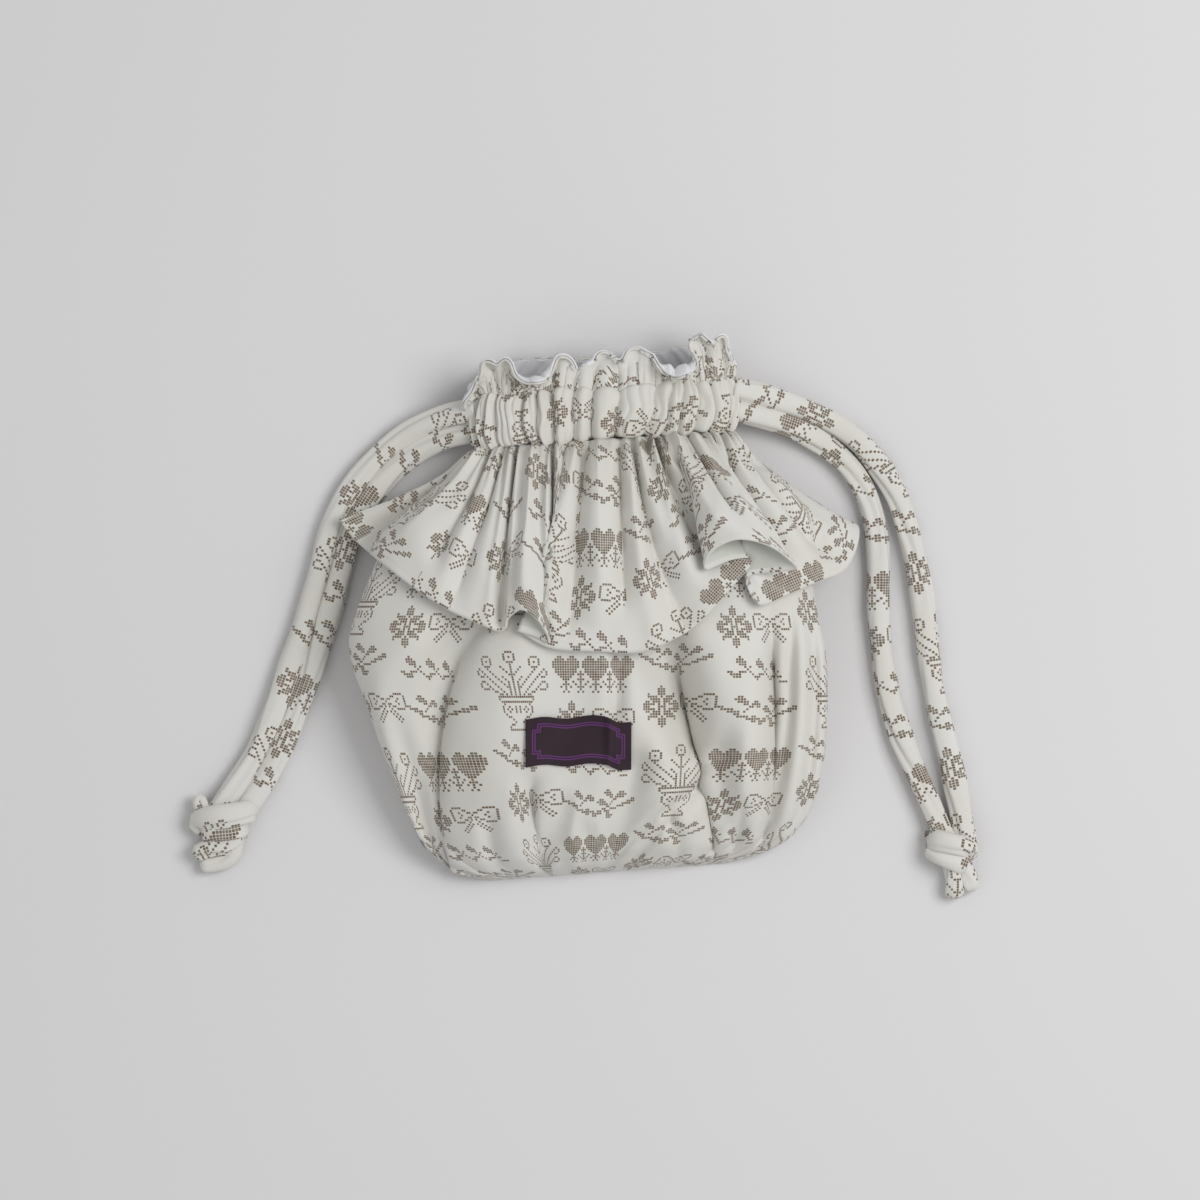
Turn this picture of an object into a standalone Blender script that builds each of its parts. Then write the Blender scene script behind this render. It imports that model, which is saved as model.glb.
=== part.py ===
"""A gathered drawstring pouch with a flounce, lying on its back with its mouth towards +Y.

Metres, +Z up. While the pieces are worked out, y is 0 at the neck, where pouch, flounce and casing
are sewn together, and x is 0 near its middle. The whole is then set down with the middle of the
pouch's own box over the origin and its back at z = 0.
"""
import math
from collections import namedtuple

import bpy
import numpy as np

# Driving dimensions, in metres
BODY_WIDTH = 0.2016
BODY_LENGTH = 0.1825
BODY_HEIGHT = 0.046
BODY_WALL = 0.0018
BODY_SHIFT = -0.0050
NECK_WIDTH = 0.104
NECK_HEIGHT = 0.021
NECK_SHIFT = 0.0020
MOUTH_SLOPE = 0.073
GATHER_DEPTH = 0.0016

CASING_LENGTH = 0.0215
CASING_BULGE = 0.0028
CASING_WALL = 0.0014
CASING_RIDGE = 0.0022

FRILL_LENGTH = 0.0235
FRILL_WALL = 0.0010
FRILL_DEPTH = 0.0022
LINING_WALL = 0.0010

FLOUNCE_SPAN = 0.2220
FLOUNCE_DROP = 0.0895
FLOUNCE_WALL = 0.0012
FLOUNCE_SHIFT = -0.0010
FLOUNCE_PLEAT = 0.0026

LABEL_WIDTH = 0.0440
LABEL_HEIGHT = 0.0200
LABEL_WALL = 0.0009
LABEL_ACROSS = -0.0088
LABEL_DOWN = 0.1260
LABEL_BUCKLE = 0.0012

CORD_DIAMETER = 0.0084
KNOT_WIDTH = 0.0220
KNOT_LENGTH = 0.0135
TAIL_LENGTH = 0.0150
TAIL_DIAMETER = 0.0110
KNOT_SEAT = 0.0010

GAP = 0.0003
# What the flounce's neck keeps beyond GAP, and how wide a corner is rounded where cloth lies on cloth
SEAM_ALLOWANCE = 0.0002
LAY_ROUNDING = 0.0010
DRAPE_CLEARANCE = 0.0027
# How far past the casing's edge the frill's falling cloth is kept clear of the casing
FALL_CLEARANCE = 0.0022
CLOTH_ROUGHNESS = 0.9

# Counts
BODY_AROUND = 64
CASING_AROUND = 84
CASING_GATHERS = 21
BOTTOM_GATHERS = 13
FLOUNCE_PER_FOLD = 3
FLOUNCE_PLEATS = 17
FLOUNCE_ROWS = 6
FRILL_PER_FOLD = 2
KNOT_AROUND = 14
FRILL_ROWS = 5
# The pouch's rows, as shares of BODY_LENGTH, and where the inner skin's last one lies
BODY_ROWS = (0, 0.07, 0.15, 0.24, 0.34, 0.44, 0.54, 0.65, 0.76, 0.86, 0.93, 0.975, 1.0)
INNER_END = 0.945

# How far up its height the side of a flattened ring is widest, and how square the ring is
SIDE_SHARE = 0.42
ROUNDNESS = 2.4
FLAT_BACK = 1.25
# How far a leaning fold's cloth is pushed, as a share of BODY_WIDTH for a fold of full depth
FOLD_PUSH = 0.15
# How late on its way to the hem the flounce's folds open
FOLD_OPENING = 2.4

# The pouch from neck to bottom seam. neck: share of the neck's own width, height and lift that is
# left; left, right: shares of half BODY_WIDTH; height: share of BODY_HEIGHT; back: share of the
# flounce's thickness that the back lies on.
Section = namedtuple("Section", "along neck left right height back")
SECTIONS = (
    Section(0.000, 1.00, 0.000, 0.000, 0.000, 0.0),
    Section(0.060, 0.75, 0.185, 0.175, 0.260, 0.3),
    Section(0.140, 0.45, 0.505, 0.520, 0.590, 0.6),
    Section(0.220, 0.20, 0.745, 0.775, 0.820, 0.9),
    Section(0.320, 0.05, 0.890, 0.905, 0.950, 1.0),
    Section(0.400, 0.00, 0.966, 0.958, 0.990, 1.0),
    Section(0.460, 0.00, 0.994, 0.984, 1.000, 0.9),
    Section(0.520, 0.00, 0.980, 0.996, 1.000, 0.5),
    Section(0.600, 0.00, 0.928, 1.000, 0.990, 0.0),
    Section(0.690, 0.00, 0.870, 0.994, 0.950, 0.0),
    Section(0.770, 0.00, 0.808, 0.980, 0.880, 0.0),
    Section(0.850, 0.00, 0.745, 0.950, 0.760, 0.0),
    Section(0.920, 0.00, 0.665, 0.890, 0.590, 0.0),
    Section(0.965, 0.00, 0.575, 0.800, 0.410, 0.0),
    Section(0.988, 0.00, 0.485, 0.690, 0.240, 0.0),
    Section(1.000, 0.00, 0.390, 0.570, 0.090, 0.0),
)

# Folds down the front of the pouch. across: shares of half BODY_WIDTH at the fold's top, middle and
# foot; top, foot: shares of BODY_LENGTH; width: share of half BODY_WIDTH; depth: share of
# BODY_HEIGHT; lean: how far the cloth on the right hangs over the fold.
BodyFold = namedtuple("BodyFold", "name upper middle lower top foot width depth lean")
BODY_FOLDS = (
    BodyFold("left valley", -0.33, -0.53, -0.47, 0.30, 1.02, 0.115, 0.26, 0.40),
    BodyFold("left shoulder", -0.66, -0.76, -0.62, 0.46, 0.96, 0.090, 0.07, 0.00),
    BodyFold("seam pucker", -0.18, -0.17, -0.15, 0.80, 1.02, 0.070, 0.14, 0.10),
    BodyFold("middle dimple", 0.20, 0.30, 0.44, 0.40, 0.64, 0.105, 0.16, 0.20),
    BodyFold("right tuck", 0.36, 0.51, 0.60, 0.38, 1.02, 0.090, 0.20, 0.40),
    BodyFold("middle gather", 0.24, 0.16, 0.10, 0.72, 1.02, 0.080, 0.12, 0.10),
    BodyFold("right side fold", 0.78, 0.80, 0.70, 0.34, 0.98, 0.075, 0.20, 0.20),
)

# The flounce's hem, once round from its left tip over the front. across: share of half
# FLOUNCE_SPAN; down: share of FLOUNCE_DROP; height: share of BODY_HEIGHT; turn: where on the neck
# that part of it is sewn, 0 at the left side, 0.25 in front and 0.5 at the right side.
HemRow = namedtuple("HemRow", "name across down height turn")
HEM = (
    HemRow("left tip", -0.985, 0.360, 0.275, 0.000),
    HemRow("left edge", -0.915, 0.475, 0.305, 0.030),
    HemRow("left edge", -0.811, 0.580, 0.440, 0.055),
    HemRow("broad panel", -0.667, 0.715, 0.700, 0.080),
    HemRow("broad panel", -0.555, 0.800, 0.930, 0.105),
    HemRow("broad panel", -0.440, 0.865, 1.060, 0.125),
    HemRow("cone foot", -0.362, 0.895, 1.080, 0.145),
    HemRow("cone wall", -0.345, 0.845, 1.180, 0.155),
    HemRow("cone roof", -0.290, 0.795, 1.290, 0.172),
    HemRow("cone roof", -0.215, 0.850, 1.310, 0.190),
    HemRow("cone crest", -0.172, 0.950, 1.200, 0.205),
    HemRow("cone floor", -0.225, 0.925, 1.120, 0.213),
    HemRow("cone crease", -0.290, 0.900, 1.090, 0.218),
    HemRow("cone crease", -0.270, 0.915, 1.060, 0.222),
    HemRow("centre panel", -0.190, 0.970, 1.060, 0.227),
    HemRow("centre panel", -0.100, 0.987, 1.110, 0.237),
    HemRow("centre panel", 0.010, 0.990, 1.150, 0.250),
    HemRow("centre panel", 0.105, 1.000, 1.110, 0.265),
    HemRow("centre panel", 0.195, 0.985, 1.080, 0.280),
    HemRow("centre panel", 0.300, 0.925, 1.100, 0.293),
    HemRow("centre panel", 0.395, 0.840, 1.130, 0.302),
    HemRow("arch crease", 0.480, 0.725, 1.110, 0.309),
    HemRow("arch crease", 0.585, 0.570, 1.110, 0.315),
    HemRow("arch floor", 0.500, 0.565, 1.140, 0.319),
    HemRow("arch foot", 0.400, 0.615, 1.200, 0.324),
    HemRow("arch roof", 0.425, 0.530, 1.320, 0.332),
    HemRow("arch roof", 0.505, 0.475, 1.400, 0.345),
    HemRow("arch roof", 0.590, 0.478, 1.400, 0.360),
    HemRow("arch roof", 0.680, 0.520, 1.320, 0.375),
    HemRow("arch end", 0.755, 0.598, 1.160, 0.388),
    HemRow("under the arch", 0.680, 0.620, 1.070, 0.395),
    HemRow("second crease", 0.560, 0.645, 1.020, 0.402),
    HemRow("right panel", 0.605, 0.775, 0.980, 0.412),
    HemRow("right panel", 0.690, 0.740, 0.920, 0.425),
    HemRow("right panel", 0.830, 0.665, 0.720, 0.440),
    HemRow("right panel", 0.945, 0.605, 0.440, 0.460),
    HemRow("right tip", 0.995, 0.440, 0.250, 0.490),
    HemRow("right back edge", 0.960, 0.400, 0.075, 0.520),
    HemRow("back", 0.780, 0.640, 0.030, 0.570),
    HemRow("back", 0.560, 0.800, 0.018, 0.620),
    HemRow("back", 0.300, 0.900, 0.030, 0.680),
    HemRow("back", 0.050, 0.930, 0.018, 0.740),
    HemRow("back", -0.200, 0.900, 0.030, 0.800),
    HemRow("back", -0.450, 0.800, 0.018, 0.860),
    HemRow("back", -0.680, 0.640, 0.040, 0.920),
    HemRow("left back edge", -0.880, 0.500, 0.190, 0.970),
)

# The frill's rim, once round from its left side over the front. across: share of half NECK_WIDTH;
# rise: share of FRILL_LENGTH above the casing; height: share of NECK_HEIGHT; stand: how far up the
# cloth stands before it falls to its rim, as a share of FRILL_LENGTH.
RimRow = namedtuple("RimRow", "name across rise height stand turn")
RIM = (
    RimRow("left side", -1.10, 0.34, 0.40, 0.50, 0.000),
    RimRow("left lobe", -1.16, 0.14, 0.68, 0.55, 0.030),
    RimRow("left lobe", -1.06, -0.20, 1.00, 0.70, 0.055),
    RimRow("left lobe", -0.90, -0.42, 1.32, 0.85, 0.078),
    RimRow("left lobe", -0.76, -0.28, 1.46, 0.85, 0.100),
    RimRow("left lobe", -0.66, 0.02, 1.45, 0.80, 0.120),
    RimRow("left dip", -0.57, 0.25, 1.30, 0.65, 0.137),
    RimRow("left dip", -0.49, 0.20, 1.32, 0.60, 0.152),
    RimRow("left dip", -0.41, 0.35, 1.28, 0.65, 0.167),
    RimRow("left peak", -0.34, 0.65, 1.16, 0.80, 0.183),
    RimRow("left peak", -0.27, 0.70, 1.22, 0.90, 0.197),
    RimRow("small lobe", -0.22, 0.40, 1.42, 0.90, 0.209),
    RimRow("small lobe", -0.16, 0.45, 1.34, 0.85, 0.220),
    RimRow("middle", -0.07, 0.70, 1.15, 0.85, 0.234),
    RimRow("middle", 0.06, 0.78, 1.05, 0.85, 0.252),
    RimRow("middle", 0.20, 0.80, 1.12, 0.85, 0.270),
    RimRow("right fold", 0.32, 0.70, 1.25, 0.85, 0.286),
    RimRow("right fold", 0.40, 0.42, 1.44, 0.85, 0.301),
    RimRow("right fold", 0.48, 0.08, 1.55, 0.85, 0.316),
    RimRow("right fold", 0.60, -0.08, 1.60, 0.88, 0.331),
    RimRow("right fold", 0.72, 0.04, 1.52, 0.86, 0.346),
    RimRow("right fold", 0.73, 0.36, 1.34, 0.84, 0.360),
    RimRow("right stack", 0.68, 0.66, 1.18, 0.90, 0.374),
    RimRow("right stack", 0.72, 0.92, 1.10, 1.00, 0.389),
    RimRow("right stack", 0.83, 0.82, 1.18, 1.00, 0.405),
    RimRow("right stack", 0.94, 0.88, 1.12, 1.00, 0.421),
    RimRow("right stack", 1.00, 0.58, 0.98, 0.85, 0.442),
    RimRow("right side", 1.03, 0.28, 0.70, 0.65, 0.468),
    RimRow("right side", 1.02, 0.18, 0.42, 0.55, 0.500),
    RimRow("back", 0.92, 0.62, 0.24, 0.60, 0.545),
    RimRow("back", 0.66, 0.76, 0.24, 0.50, 0.610),
    RimRow("back", 0.34, 0.74, 0.30, 0.50, 0.680),
    RimRow("back", 0.00, 0.78, 0.26, 0.50, 0.750),
    RimRow("back", -0.36, 0.74, 0.30, 0.50, 0.820),
    RimRow("back", -0.70, 0.70, 0.24, 0.50, 0.890),
    RimRow("back", -0.96, 0.46, 0.28, 0.50, 0.955),
)

# The strands' routes, from the casing to the knot, in metres: x and y over the ground, z of the
# strand's middle.
CORD_ROUTES = {
    "cord_left_upper": (
        (-0.0562, 0.0120, 0.0150), (-0.0673, 0.0093, 0.0102), (-0.0796, 0.0039, 0.0065),
        (-0.0905, -0.0037, 0.0044), (-0.0998, -0.0132, 0.0043), (-0.1074, -0.0241, 0.0043),
        (-0.1128, -0.0361, 0.0043), (-0.1166, -0.0484, 0.0043), (-0.1198, -0.0606, 0.0043),
        (-0.1232, -0.0725, 0.0043), (-0.1269, -0.0844, 0.0043), (-0.1308, -0.0962, 0.0043),
        (-0.1349, -0.1078, 0.0043), (-0.1395, -0.1193, 0.0043), (-0.1445, -0.1304, 0.0043),
        (-0.1506, -0.1410, 0.0048), (-0.1574, -0.1513, 0.0056),
    ),
    "cord_left_lower": (
        (-0.0556, 0.0030, 0.0122), (-0.0645, 0.0008, 0.0091), (-0.0752, -0.0038, 0.0061),
        (-0.0847, -0.0105, 0.0044), (-0.0929, -0.0189, 0.0043), (-0.0996, -0.0285, 0.0043),
        (-0.1045, -0.0393, 0.0043), (-0.1080, -0.0509, 0.0043), (-0.1112, -0.0629, 0.0043),
        (-0.1147, -0.0751, 0.0043), (-0.1184, -0.0871, 0.0043), (-0.1223, -0.0991, 0.0043),
        (-0.1266, -0.1110, 0.0043), (-0.1313, -0.1228, 0.0043), (-0.1366, -0.1345, 0.0043),
        (-0.1430, -0.1456, 0.0048), (-0.1500, -0.1562, 0.0056),
    ),
    "cord_right_upper": (
        (0.0606, 0.0208, 0.0148), (0.0684, 0.0191, 0.0127), (0.0764, 0.0166, 0.0104),
        (0.0886, 0.0120, 0.0069), (0.1003, 0.0062, 0.0046), (0.1107, -0.0017, 0.0043),
        (0.1190, -0.0117, 0.0043), (0.1254, -0.0231, 0.0043), (0.1294, -0.0355, 0.0043),
        (0.1325, -0.0482, 0.0043), (0.1352, -0.0610, 0.0043), (0.1370, -0.0739, 0.0043),
        (0.1385, -0.0869, 0.0043), (0.1402, -0.0998, 0.0043), (0.1426, -0.1127, 0.0043),
        (0.1457, -0.1254, 0.0043), (0.1488, -0.1380, 0.0043), (0.1515, -0.1508, 0.0048),
        (0.1536, -0.1634, 0.0056),
    ),
    "cord_right_lower": (
        (0.0600, 0.0118, 0.0135), (0.0670, 0.0102, 0.0115), (0.0748, 0.0080, 0.0096),
        (0.0862, 0.0036, 0.0065), (0.0965, -0.0029, 0.0046), (0.1054, -0.0112, 0.0043),
        (0.1118, -0.0215, 0.0043), (0.1156, -0.0331, 0.0043), (0.1172, -0.0451, 0.0043),
        (0.1177, -0.0573, 0.0043), (0.1176, -0.0695, 0.0043), (0.1184, -0.0817, 0.0043),
        (0.1197, -0.0938, 0.0043), (0.1218, -0.1058, 0.0043), (0.1250, -0.1175, 0.0043),
        (0.1290, -0.1291, 0.0043), (0.1336, -0.1403, 0.0043), (0.1390, -0.1520, 0.0048),
        (0.1448, -0.1652, 0.0056),
    ),
}
# The knots: the two strands that each one ties, and how far its tail turns away from them in degrees
Knot = namedtuple("Knot", "name first second tail_turn")
KNOTS = (
    Knot("knot_left", "cord_left_upper", "cord_left_lower", 4.0),
    Knot("knot_right", "cord_right_upper", "cord_right_lower", 14.0),
)
# A knot from its strands to its tail: shares of KNOT_LENGTH and of KNOT_WIDTH
KnotSection = namedtuple("KnotSection", "along width")
KNOT_SECTIONS = (
    KnotSection(0.00, 0.46),
    KnotSection(0.12, 0.80),
    KnotSection(0.40, 1.00),
    KnotSection(0.75, 0.96),
    KnotSection(1.00, 0.68),
)
KNOT_FLATNESS = 0.72

PRINTED_KNIT = (0.72, 0.71, 0.67)
LINING_WHITE = (0.82, 0.82, 0.83)
LABEL_PURPLE = (0.030, 0.010, 0.020)


# Reading the tables
def column(table, name):
    return np.array([getattr(row, name) for row in table], dtype=float)


def read(table, key, name, at):
    """The values of the column name where the column key has the values at, on a smooth curve."""
    keys = column(table, key)
    values = column(table, name)
    slopes = np.gradient(values, keys)
    at = np.clip(at, keys[0], keys[-1])
    low = np.clip(np.searchsorted(keys, at, side="right") - 1, 0, len(keys) - 2)
    step = keys[low + 1] - keys[low]
    share = (at - keys[low]) / step
    start = (2 * share**3 - 3 * share**2 + 1) * values[low]
    start_slope = (share**3 - 2 * share**2 + share) * step * slopes[low]
    end = (3 * share**2 - 2 * share**3) * values[low + 1]
    end_slope = (share**3 - share**2) * step * slopes[low + 1]
    return start + start_slope + end + end_slope


def round_curve(values, per_row):
    """A closed smooth curve through the rows' values, per_row steps from each row to the next."""
    before = np.roll(values, 1, axis=0)
    after = np.roll(values, -1, axis=0)
    second = np.roll(values, -2, axis=0)
    steps = []
    for step in range(per_row):
        share = step / per_row
        steps.append(
            0.5
            * (
                2 * values
                + (after - before) * share
                + (2 * before - 5 * values + 4 * after - second) * share**2
                + (3 * values - before - 3 * after + second) * share**3
            )
        )
    return np.stack(steps, axis=1).reshape(-1, *values.shape[1:])


def ring_average(points, reach):
    """Each point of a closed curve as the average of its neighbours up to reach points away."""
    total = np.zeros_like(points)
    weights = 0.0
    for step in range(-reach, reach + 1):
        weight = 1 + math.cos(math.pi * step / (reach + 1))
        total += weight * np.roll(points, step, axis=0)
        weights += weight
    return total / weights


def even_rows(rows, count):
    """The rows moved so that each column has its points at even distances."""
    even = np.zeros((count, *rows.shape[1:]))
    for index in range(rows.shape[1]):
        column_points = rows[:, index]
        steps = np.linalg.norm(np.diff(column_points, axis=0), axis=1)
        reach = np.concatenate([[0.0], np.cumsum(steps)])
        at = np.linspace(0.0, reach[-1], count)
        for axis in range(3):
            even[:, index, axis] = np.interp(at, reach, column_points[:, axis])
    return even


def unwrapped(turns):
    """Turns once round, less the even rise from 0 to 1, so that they can be smoothed as a ring."""
    return turns - np.arange(len(turns)) / len(turns)


def smoothstep(value, low, high):
    """0 at low, 1 at high, with soft ends; low may be the larger."""
    share = np.clip((value - low) / (high - low), 0.0, 1.0)
    return share * share * (3 - 2 * share)


def softer_max(first, second, blend):
    """The larger of two heights, with the corner between them rounded over blend."""
    return 0.5 * (first + second + np.sqrt((first - second) ** 2 + blend**2))


# Rings and folds
def ring(turn, left, right, low, high, spread=0.0):
    """A flattened ring: 0 at its left side, 0.25 in front, 0.5 at its right side, 0.75 behind."""
    angle = 2 * math.pi * turn
    cosine = -np.cos(angle)
    sine = np.sin(angle)
    across = np.sign(cosine) * np.abs(cosine) ** (2 / ROUNDNESS)
    rise = np.sign(sine) * np.abs(sine) ** (2 / ROUNDNESS)
    side = low + SIDE_SHARE * (high - low)
    x = np.where(across < 0, left + spread, right + spread) * across
    front = side + rise * (high + spread - side)
    back = side + rise * (side - low + spread) * FLAT_BACK
    z = np.where(rise > 0, front, np.maximum(back, low - spread))
    return x, z


def gathers(turn, count, seed):
    """Uneven pleats round a ring: rounded ridges of 1 with sharp valleys of 0 between them."""
    drift = 0.34 * np.sin(2 * math.pi * (3 * turn + 0.13 * seed))
    drift += 0.22 * np.sin(2 * math.pi * (7 * turn + 0.29 * seed))
    return np.abs(np.sin(math.pi * count * turn + 2 * drift)) ** 0.7


def slope_share(along):
    """How much of the mouth's slope the pouch has: all at its neck and at its bottom seam."""
    return 1 - smoothstep(along, 0.0, 0.4) + smoothstep(along, 0.6, 1.0)


def body_reach(along):
    """The pouch's middle, left and right reach, back and front heights at shares of its length."""
    neck = read(SECTIONS, "along", "neck", along)
    half = BODY_WIDTH / 2
    middle = BODY_SHIFT + (NECK_SHIFT - BODY_SHIFT) * neck
    left = neck * NECK_WIDTH / 2 + read(SECTIONS, "along", "left", along) * half
    right = neck * NECK_WIDTH / 2 + read(SECTIONS, "along", "right", along) * half
    low = neck * neck_lift() + read(SECTIONS, "along", "back", along) * back_layer()
    high = low + neck * NECK_HEIGHT + read(SECTIONS, "along", "height", along) * BODY_HEIGHT
    return middle, left, right, low, high


def back_layer():
    """How high the pouch's back lies on the flounce's back half."""
    return BODY_HEIGHT * 0.030 + FLOUNCE_WALL / 2 + DRAPE_CLEARANCE / 2


def neck_lift():
    """How high the neck's back lies, so that the casing that bulges round it rests on the ground."""
    return CASING_BULGE + CASING_RIDGE + GAP


def body_fold(across, along):
    """How deep the front is folded in, and how far its cloth is pushed to the left."""
    depth = np.zeros_like(across)
    push = np.zeros_like(across)
    for fold in BODY_FOLDS:
        share = (along - fold.top) / (fold.foot - fold.top)
        place = fold.upper * (1 - share) * (1 - 2 * share) + 4 * fold.middle * share * (1 - share)
        place += fold.lower * share * (2 * share - 1)
        present = smoothstep(share, 0.0, 0.3) * (1 - smoothstep(share, 1.0, 1.15))
        side = (across - place) / fold.width
        depth += present * fold.depth * np.exp(-(side**2))
        push += present * fold.lean * fold.depth * np.exp(-((side - 0.9) ** 2))
    return depth, push


def body_surface(turn, along, inset):
    """Points of the pouch's wall, inset from its outside."""
    middle, left, right, low, high = body_reach(along)
    x, z = ring(turn, left, right, low, high, -inset)
    front = smoothstep(np.sin(2 * math.pi * turn), 0.1, 0.6)
    depth, push = body_fold(x / (BODY_WIDTH / 2), along)
    pleats = smoothstep(along, 0.78, 0.99) * (gathers(turn, BOTTOM_GATHERS, 1) - 0.5)
    z = z + front * (GATHER_DEPTH * pleats - (high - low) * depth)
    x = x - front * push * BODY_WIDTH * FOLD_PUSH
    y = -along * BODY_LENGTH + MOUTH_SLOPE * x * slope_share(along)
    return np.stack([x + middle, y, np.maximum(z, inset)], axis=-1)


def body_top(x, y, spread):
    """The height of the pouch's front over a point on the ground, with its outside spread out."""
    along = -y / BODY_LENGTH
    for _ in range(3):
        along = (MOUTH_SLOPE * (x - BODY_SHIFT) * slope_share(along) - y) / BODY_LENGTH
    along = np.clip(along, 0.0, 1.0)
    middle, left, right, low, high = body_reach(along)
    reach = np.where(x < middle, left, right) + spread
    across = np.abs(x - middle) / reach
    side = low + SIDE_SHARE * (high - low)
    rise = np.clip(1 - across**ROUNDNESS, 0.0, 1.0) ** (1 / ROUNDNESS)
    beyond = np.clip(across - 1, 0.0, None) * reach
    return side + rise * (high + spread - side) - beyond * 1.5


def body_bottom(x, y, spread):
    """The height of the pouch's back over a point on the ground, with its outside spread out."""
    along = np.clip(-y / BODY_LENGTH, 0.0, 1.0)
    middle, left, right, low, high = body_reach(along)
    reach = np.where(x < middle, left, right) + spread
    across = np.abs(x - middle) / reach
    side = low + SIDE_SHARE * (high - low)
    rise = np.clip(1 - across**ROUNDNESS, 0.0, 1.0) ** (1 / ROUNDNESS)
    beyond = np.clip(across - 1, 0.0, None) * reach
    return np.maximum(side - rise * (side - low + spread) * FLAT_BACK, low - spread) + beyond * 1.5


def casing_top(x, spread):
    """The height of the casing's front over a point on the ground, with its outside spread out."""
    full = CASING_BULGE + FLOUNCE_WALL + CASING_RIDGE / 2 + spread
    reach = NECK_WIDTH / 2 + full
    across = np.abs(x - NECK_SHIFT) / reach
    side = neck_lift() + SIDE_SHARE * NECK_HEIGHT
    rise = np.clip(1 - across**ROUNDNESS, 0.0, 1.0) ** (1 / ROUNDNESS)
    beyond = np.clip(across - 1, 0.0, None) * reach
    return side + rise * (neck_lift() + NECK_HEIGHT + full - side) - beyond * 1.5


# Making the meshes
def new_object(name, points, faces, colour, roughness):
    mesh = bpy.data.meshes.new(name)
    mesh.from_pydata([tuple(point) for point in points], [], faces)
    mesh.validate()
    mesh.shade_smooth()
    made = bpy.data.objects.new(name, mesh)
    dress(made, colour, roughness)
    return made


def dress(made, colour, roughness):
    """Give the piece its own material, and put it in the collection, under the shared empty."""
    material = bpy.data.materials.new(made.name)
    material.use_nodes = True
    shader = material.node_tree.nodes["Principled BSDF"]
    shader.inputs["Base Color"].default_value = (*colour, 1.0)
    shader.inputs["Roughness"].default_value = roughness
    shader.inputs["Metallic"].default_value = 0.0
    made.data.materials.append(material)
    parts.objects.link(made)
    made.parent = ground


def band_faces(rows, around, first, outward):
    """Triangles between rows of a ring of points, numbered from first."""
    faces = []
    for row in range(rows - 1):
        for step in range(around):
            after = (step + 1) % around
            a = first + row * around + step
            b = first + row * around + after
            c = first + (row + 1) * around + after
            d = first + (row + 1) * around + step
            faces += [(d, c, a), (c, b, a)] if outward else [(a, c, d), (a, b, c)]
    return faces


def closing_faces(around, first, outward):
    """Faces that zip a flattened ring shut, front to back."""
    faces = []
    for step in range(around // 2):
        a = first + step
        b = first + step + 1
        c = first + (around - step - 1) % around
        d = first + (around - step) % around
        corners = [d, c, b, a] if outward else [a, b, c, d]
        faces.append(tuple(dict.fromkeys(corners)))
    return faces


def rim_faces(around, outer, inner, outward):
    """Quads that join the outer wall's edge to the inner wall's."""
    faces = []
    for step in range(around):
        after = (step + 1) % around
        corners = (outer + step, inner + step, inner + after, outer + after)
        faces.append(corners[::-1] if outward else corners)
    return faces


def double_wall(name, outer, inner, closed, colour):
    """A soft wall lofted as an outer and an inner skin, open at its first row."""
    around = outer.shape[1]
    points = np.concatenate([outer.reshape(-1, 3), inner.reshape(-1, 3)])
    start = outer.shape[0] * around
    outer_end = start - around
    inner_end = start + (inner.shape[0] - 1) * around
    faces = band_faces(outer.shape[0], around, 0, True)
    faces += band_faces(inner.shape[0], around, start, False)
    faces += rim_faces(around, 0, start, True)
    if closed:
        faces += closing_faces(around, outer_end, True)
        faces += closing_faces(around, inner_end, False)
    else:
        faces += rim_faces(around, outer_end, inner_end, False)
    return new_object(name, points, faces, colour, CLOTH_ROUGHNESS)


def sheet(name, grid, wall, offset, colour):
    """A single layer of cloth: a ring of rows with its wall from Solidify."""
    rows, around = grid.shape[:2]
    faces = band_faces(rows, around, 0, True)
    made = new_object(name, grid.reshape(-1, 3), faces, colour, CLOTH_ROUGHNESS)
    solidify = made.modifiers.new("wall", "SOLIDIFY")
    solidify.thickness = wall
    solidify.offset = offset
    return made


def outward_normals(grid):
    """Unit normals of a ring of rows, away from the hollow."""
    around = np.roll(grid, -1, axis=1) - np.roll(grid, 1, axis=1)
    along = np.gradient(grid, axis=0)
    normal = np.cross(around, along)
    return normal / np.linalg.norm(normal, axis=-1, keepdims=True)


# The pieces
def make_body():
    outer_along = np.array(BODY_ROWS)
    inner_along = np.append(outer_along[outer_along < INNER_END - 0.02], INNER_END)
    turn = np.arange(BODY_AROUND) / BODY_AROUND
    outer = body_surface(*np.meshgrid(turn, outer_along), 0.0)
    inner = body_surface(*np.meshgrid(turn, inner_along), BODY_WALL)
    return double_wall("bag_body", outer, inner, True, PRINTED_KNIT)


def make_casing():
    """The channel bulges round the drawstrings between two rows of stitching."""
    share = np.linspace(0.0, 1.0, 4)
    turn = np.arange(CASING_AROUND) / CASING_AROUND
    turn, share = np.meshgrid(turn, share)
    outer = casing_surface(turn, share, 0.0)
    inner = casing_surface(turn, share, CASING_WALL)
    return double_wall("casing", outer[::-1], inner[::-1], False, PRINTED_KNIT)


def casing_surface(turn, share, inset):
    bulge = CASING_BULGE * np.sin(math.pi * np.clip(share, 0, 1)) ** 0.7 + FLOUNCE_WALL
    ridge = CASING_RIDGE * (gathers(turn + 0.012 * share, CASING_GATHERS, 2) - 0.5)
    spread = bulge + ridge - inset
    if np.any(inset):
        spread = bulge - CASING_RIDGE / 2 - inset
    half = NECK_WIDTH / 2
    x, z = ring(turn, half, half, neck_lift(), neck_lift() + NECK_HEIGHT, spread)
    y = GAP + share * CASING_LENGTH + MOUTH_SLOPE * x
    return np.stack([x + NECK_SHIFT, y, z], axis=-1)


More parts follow.
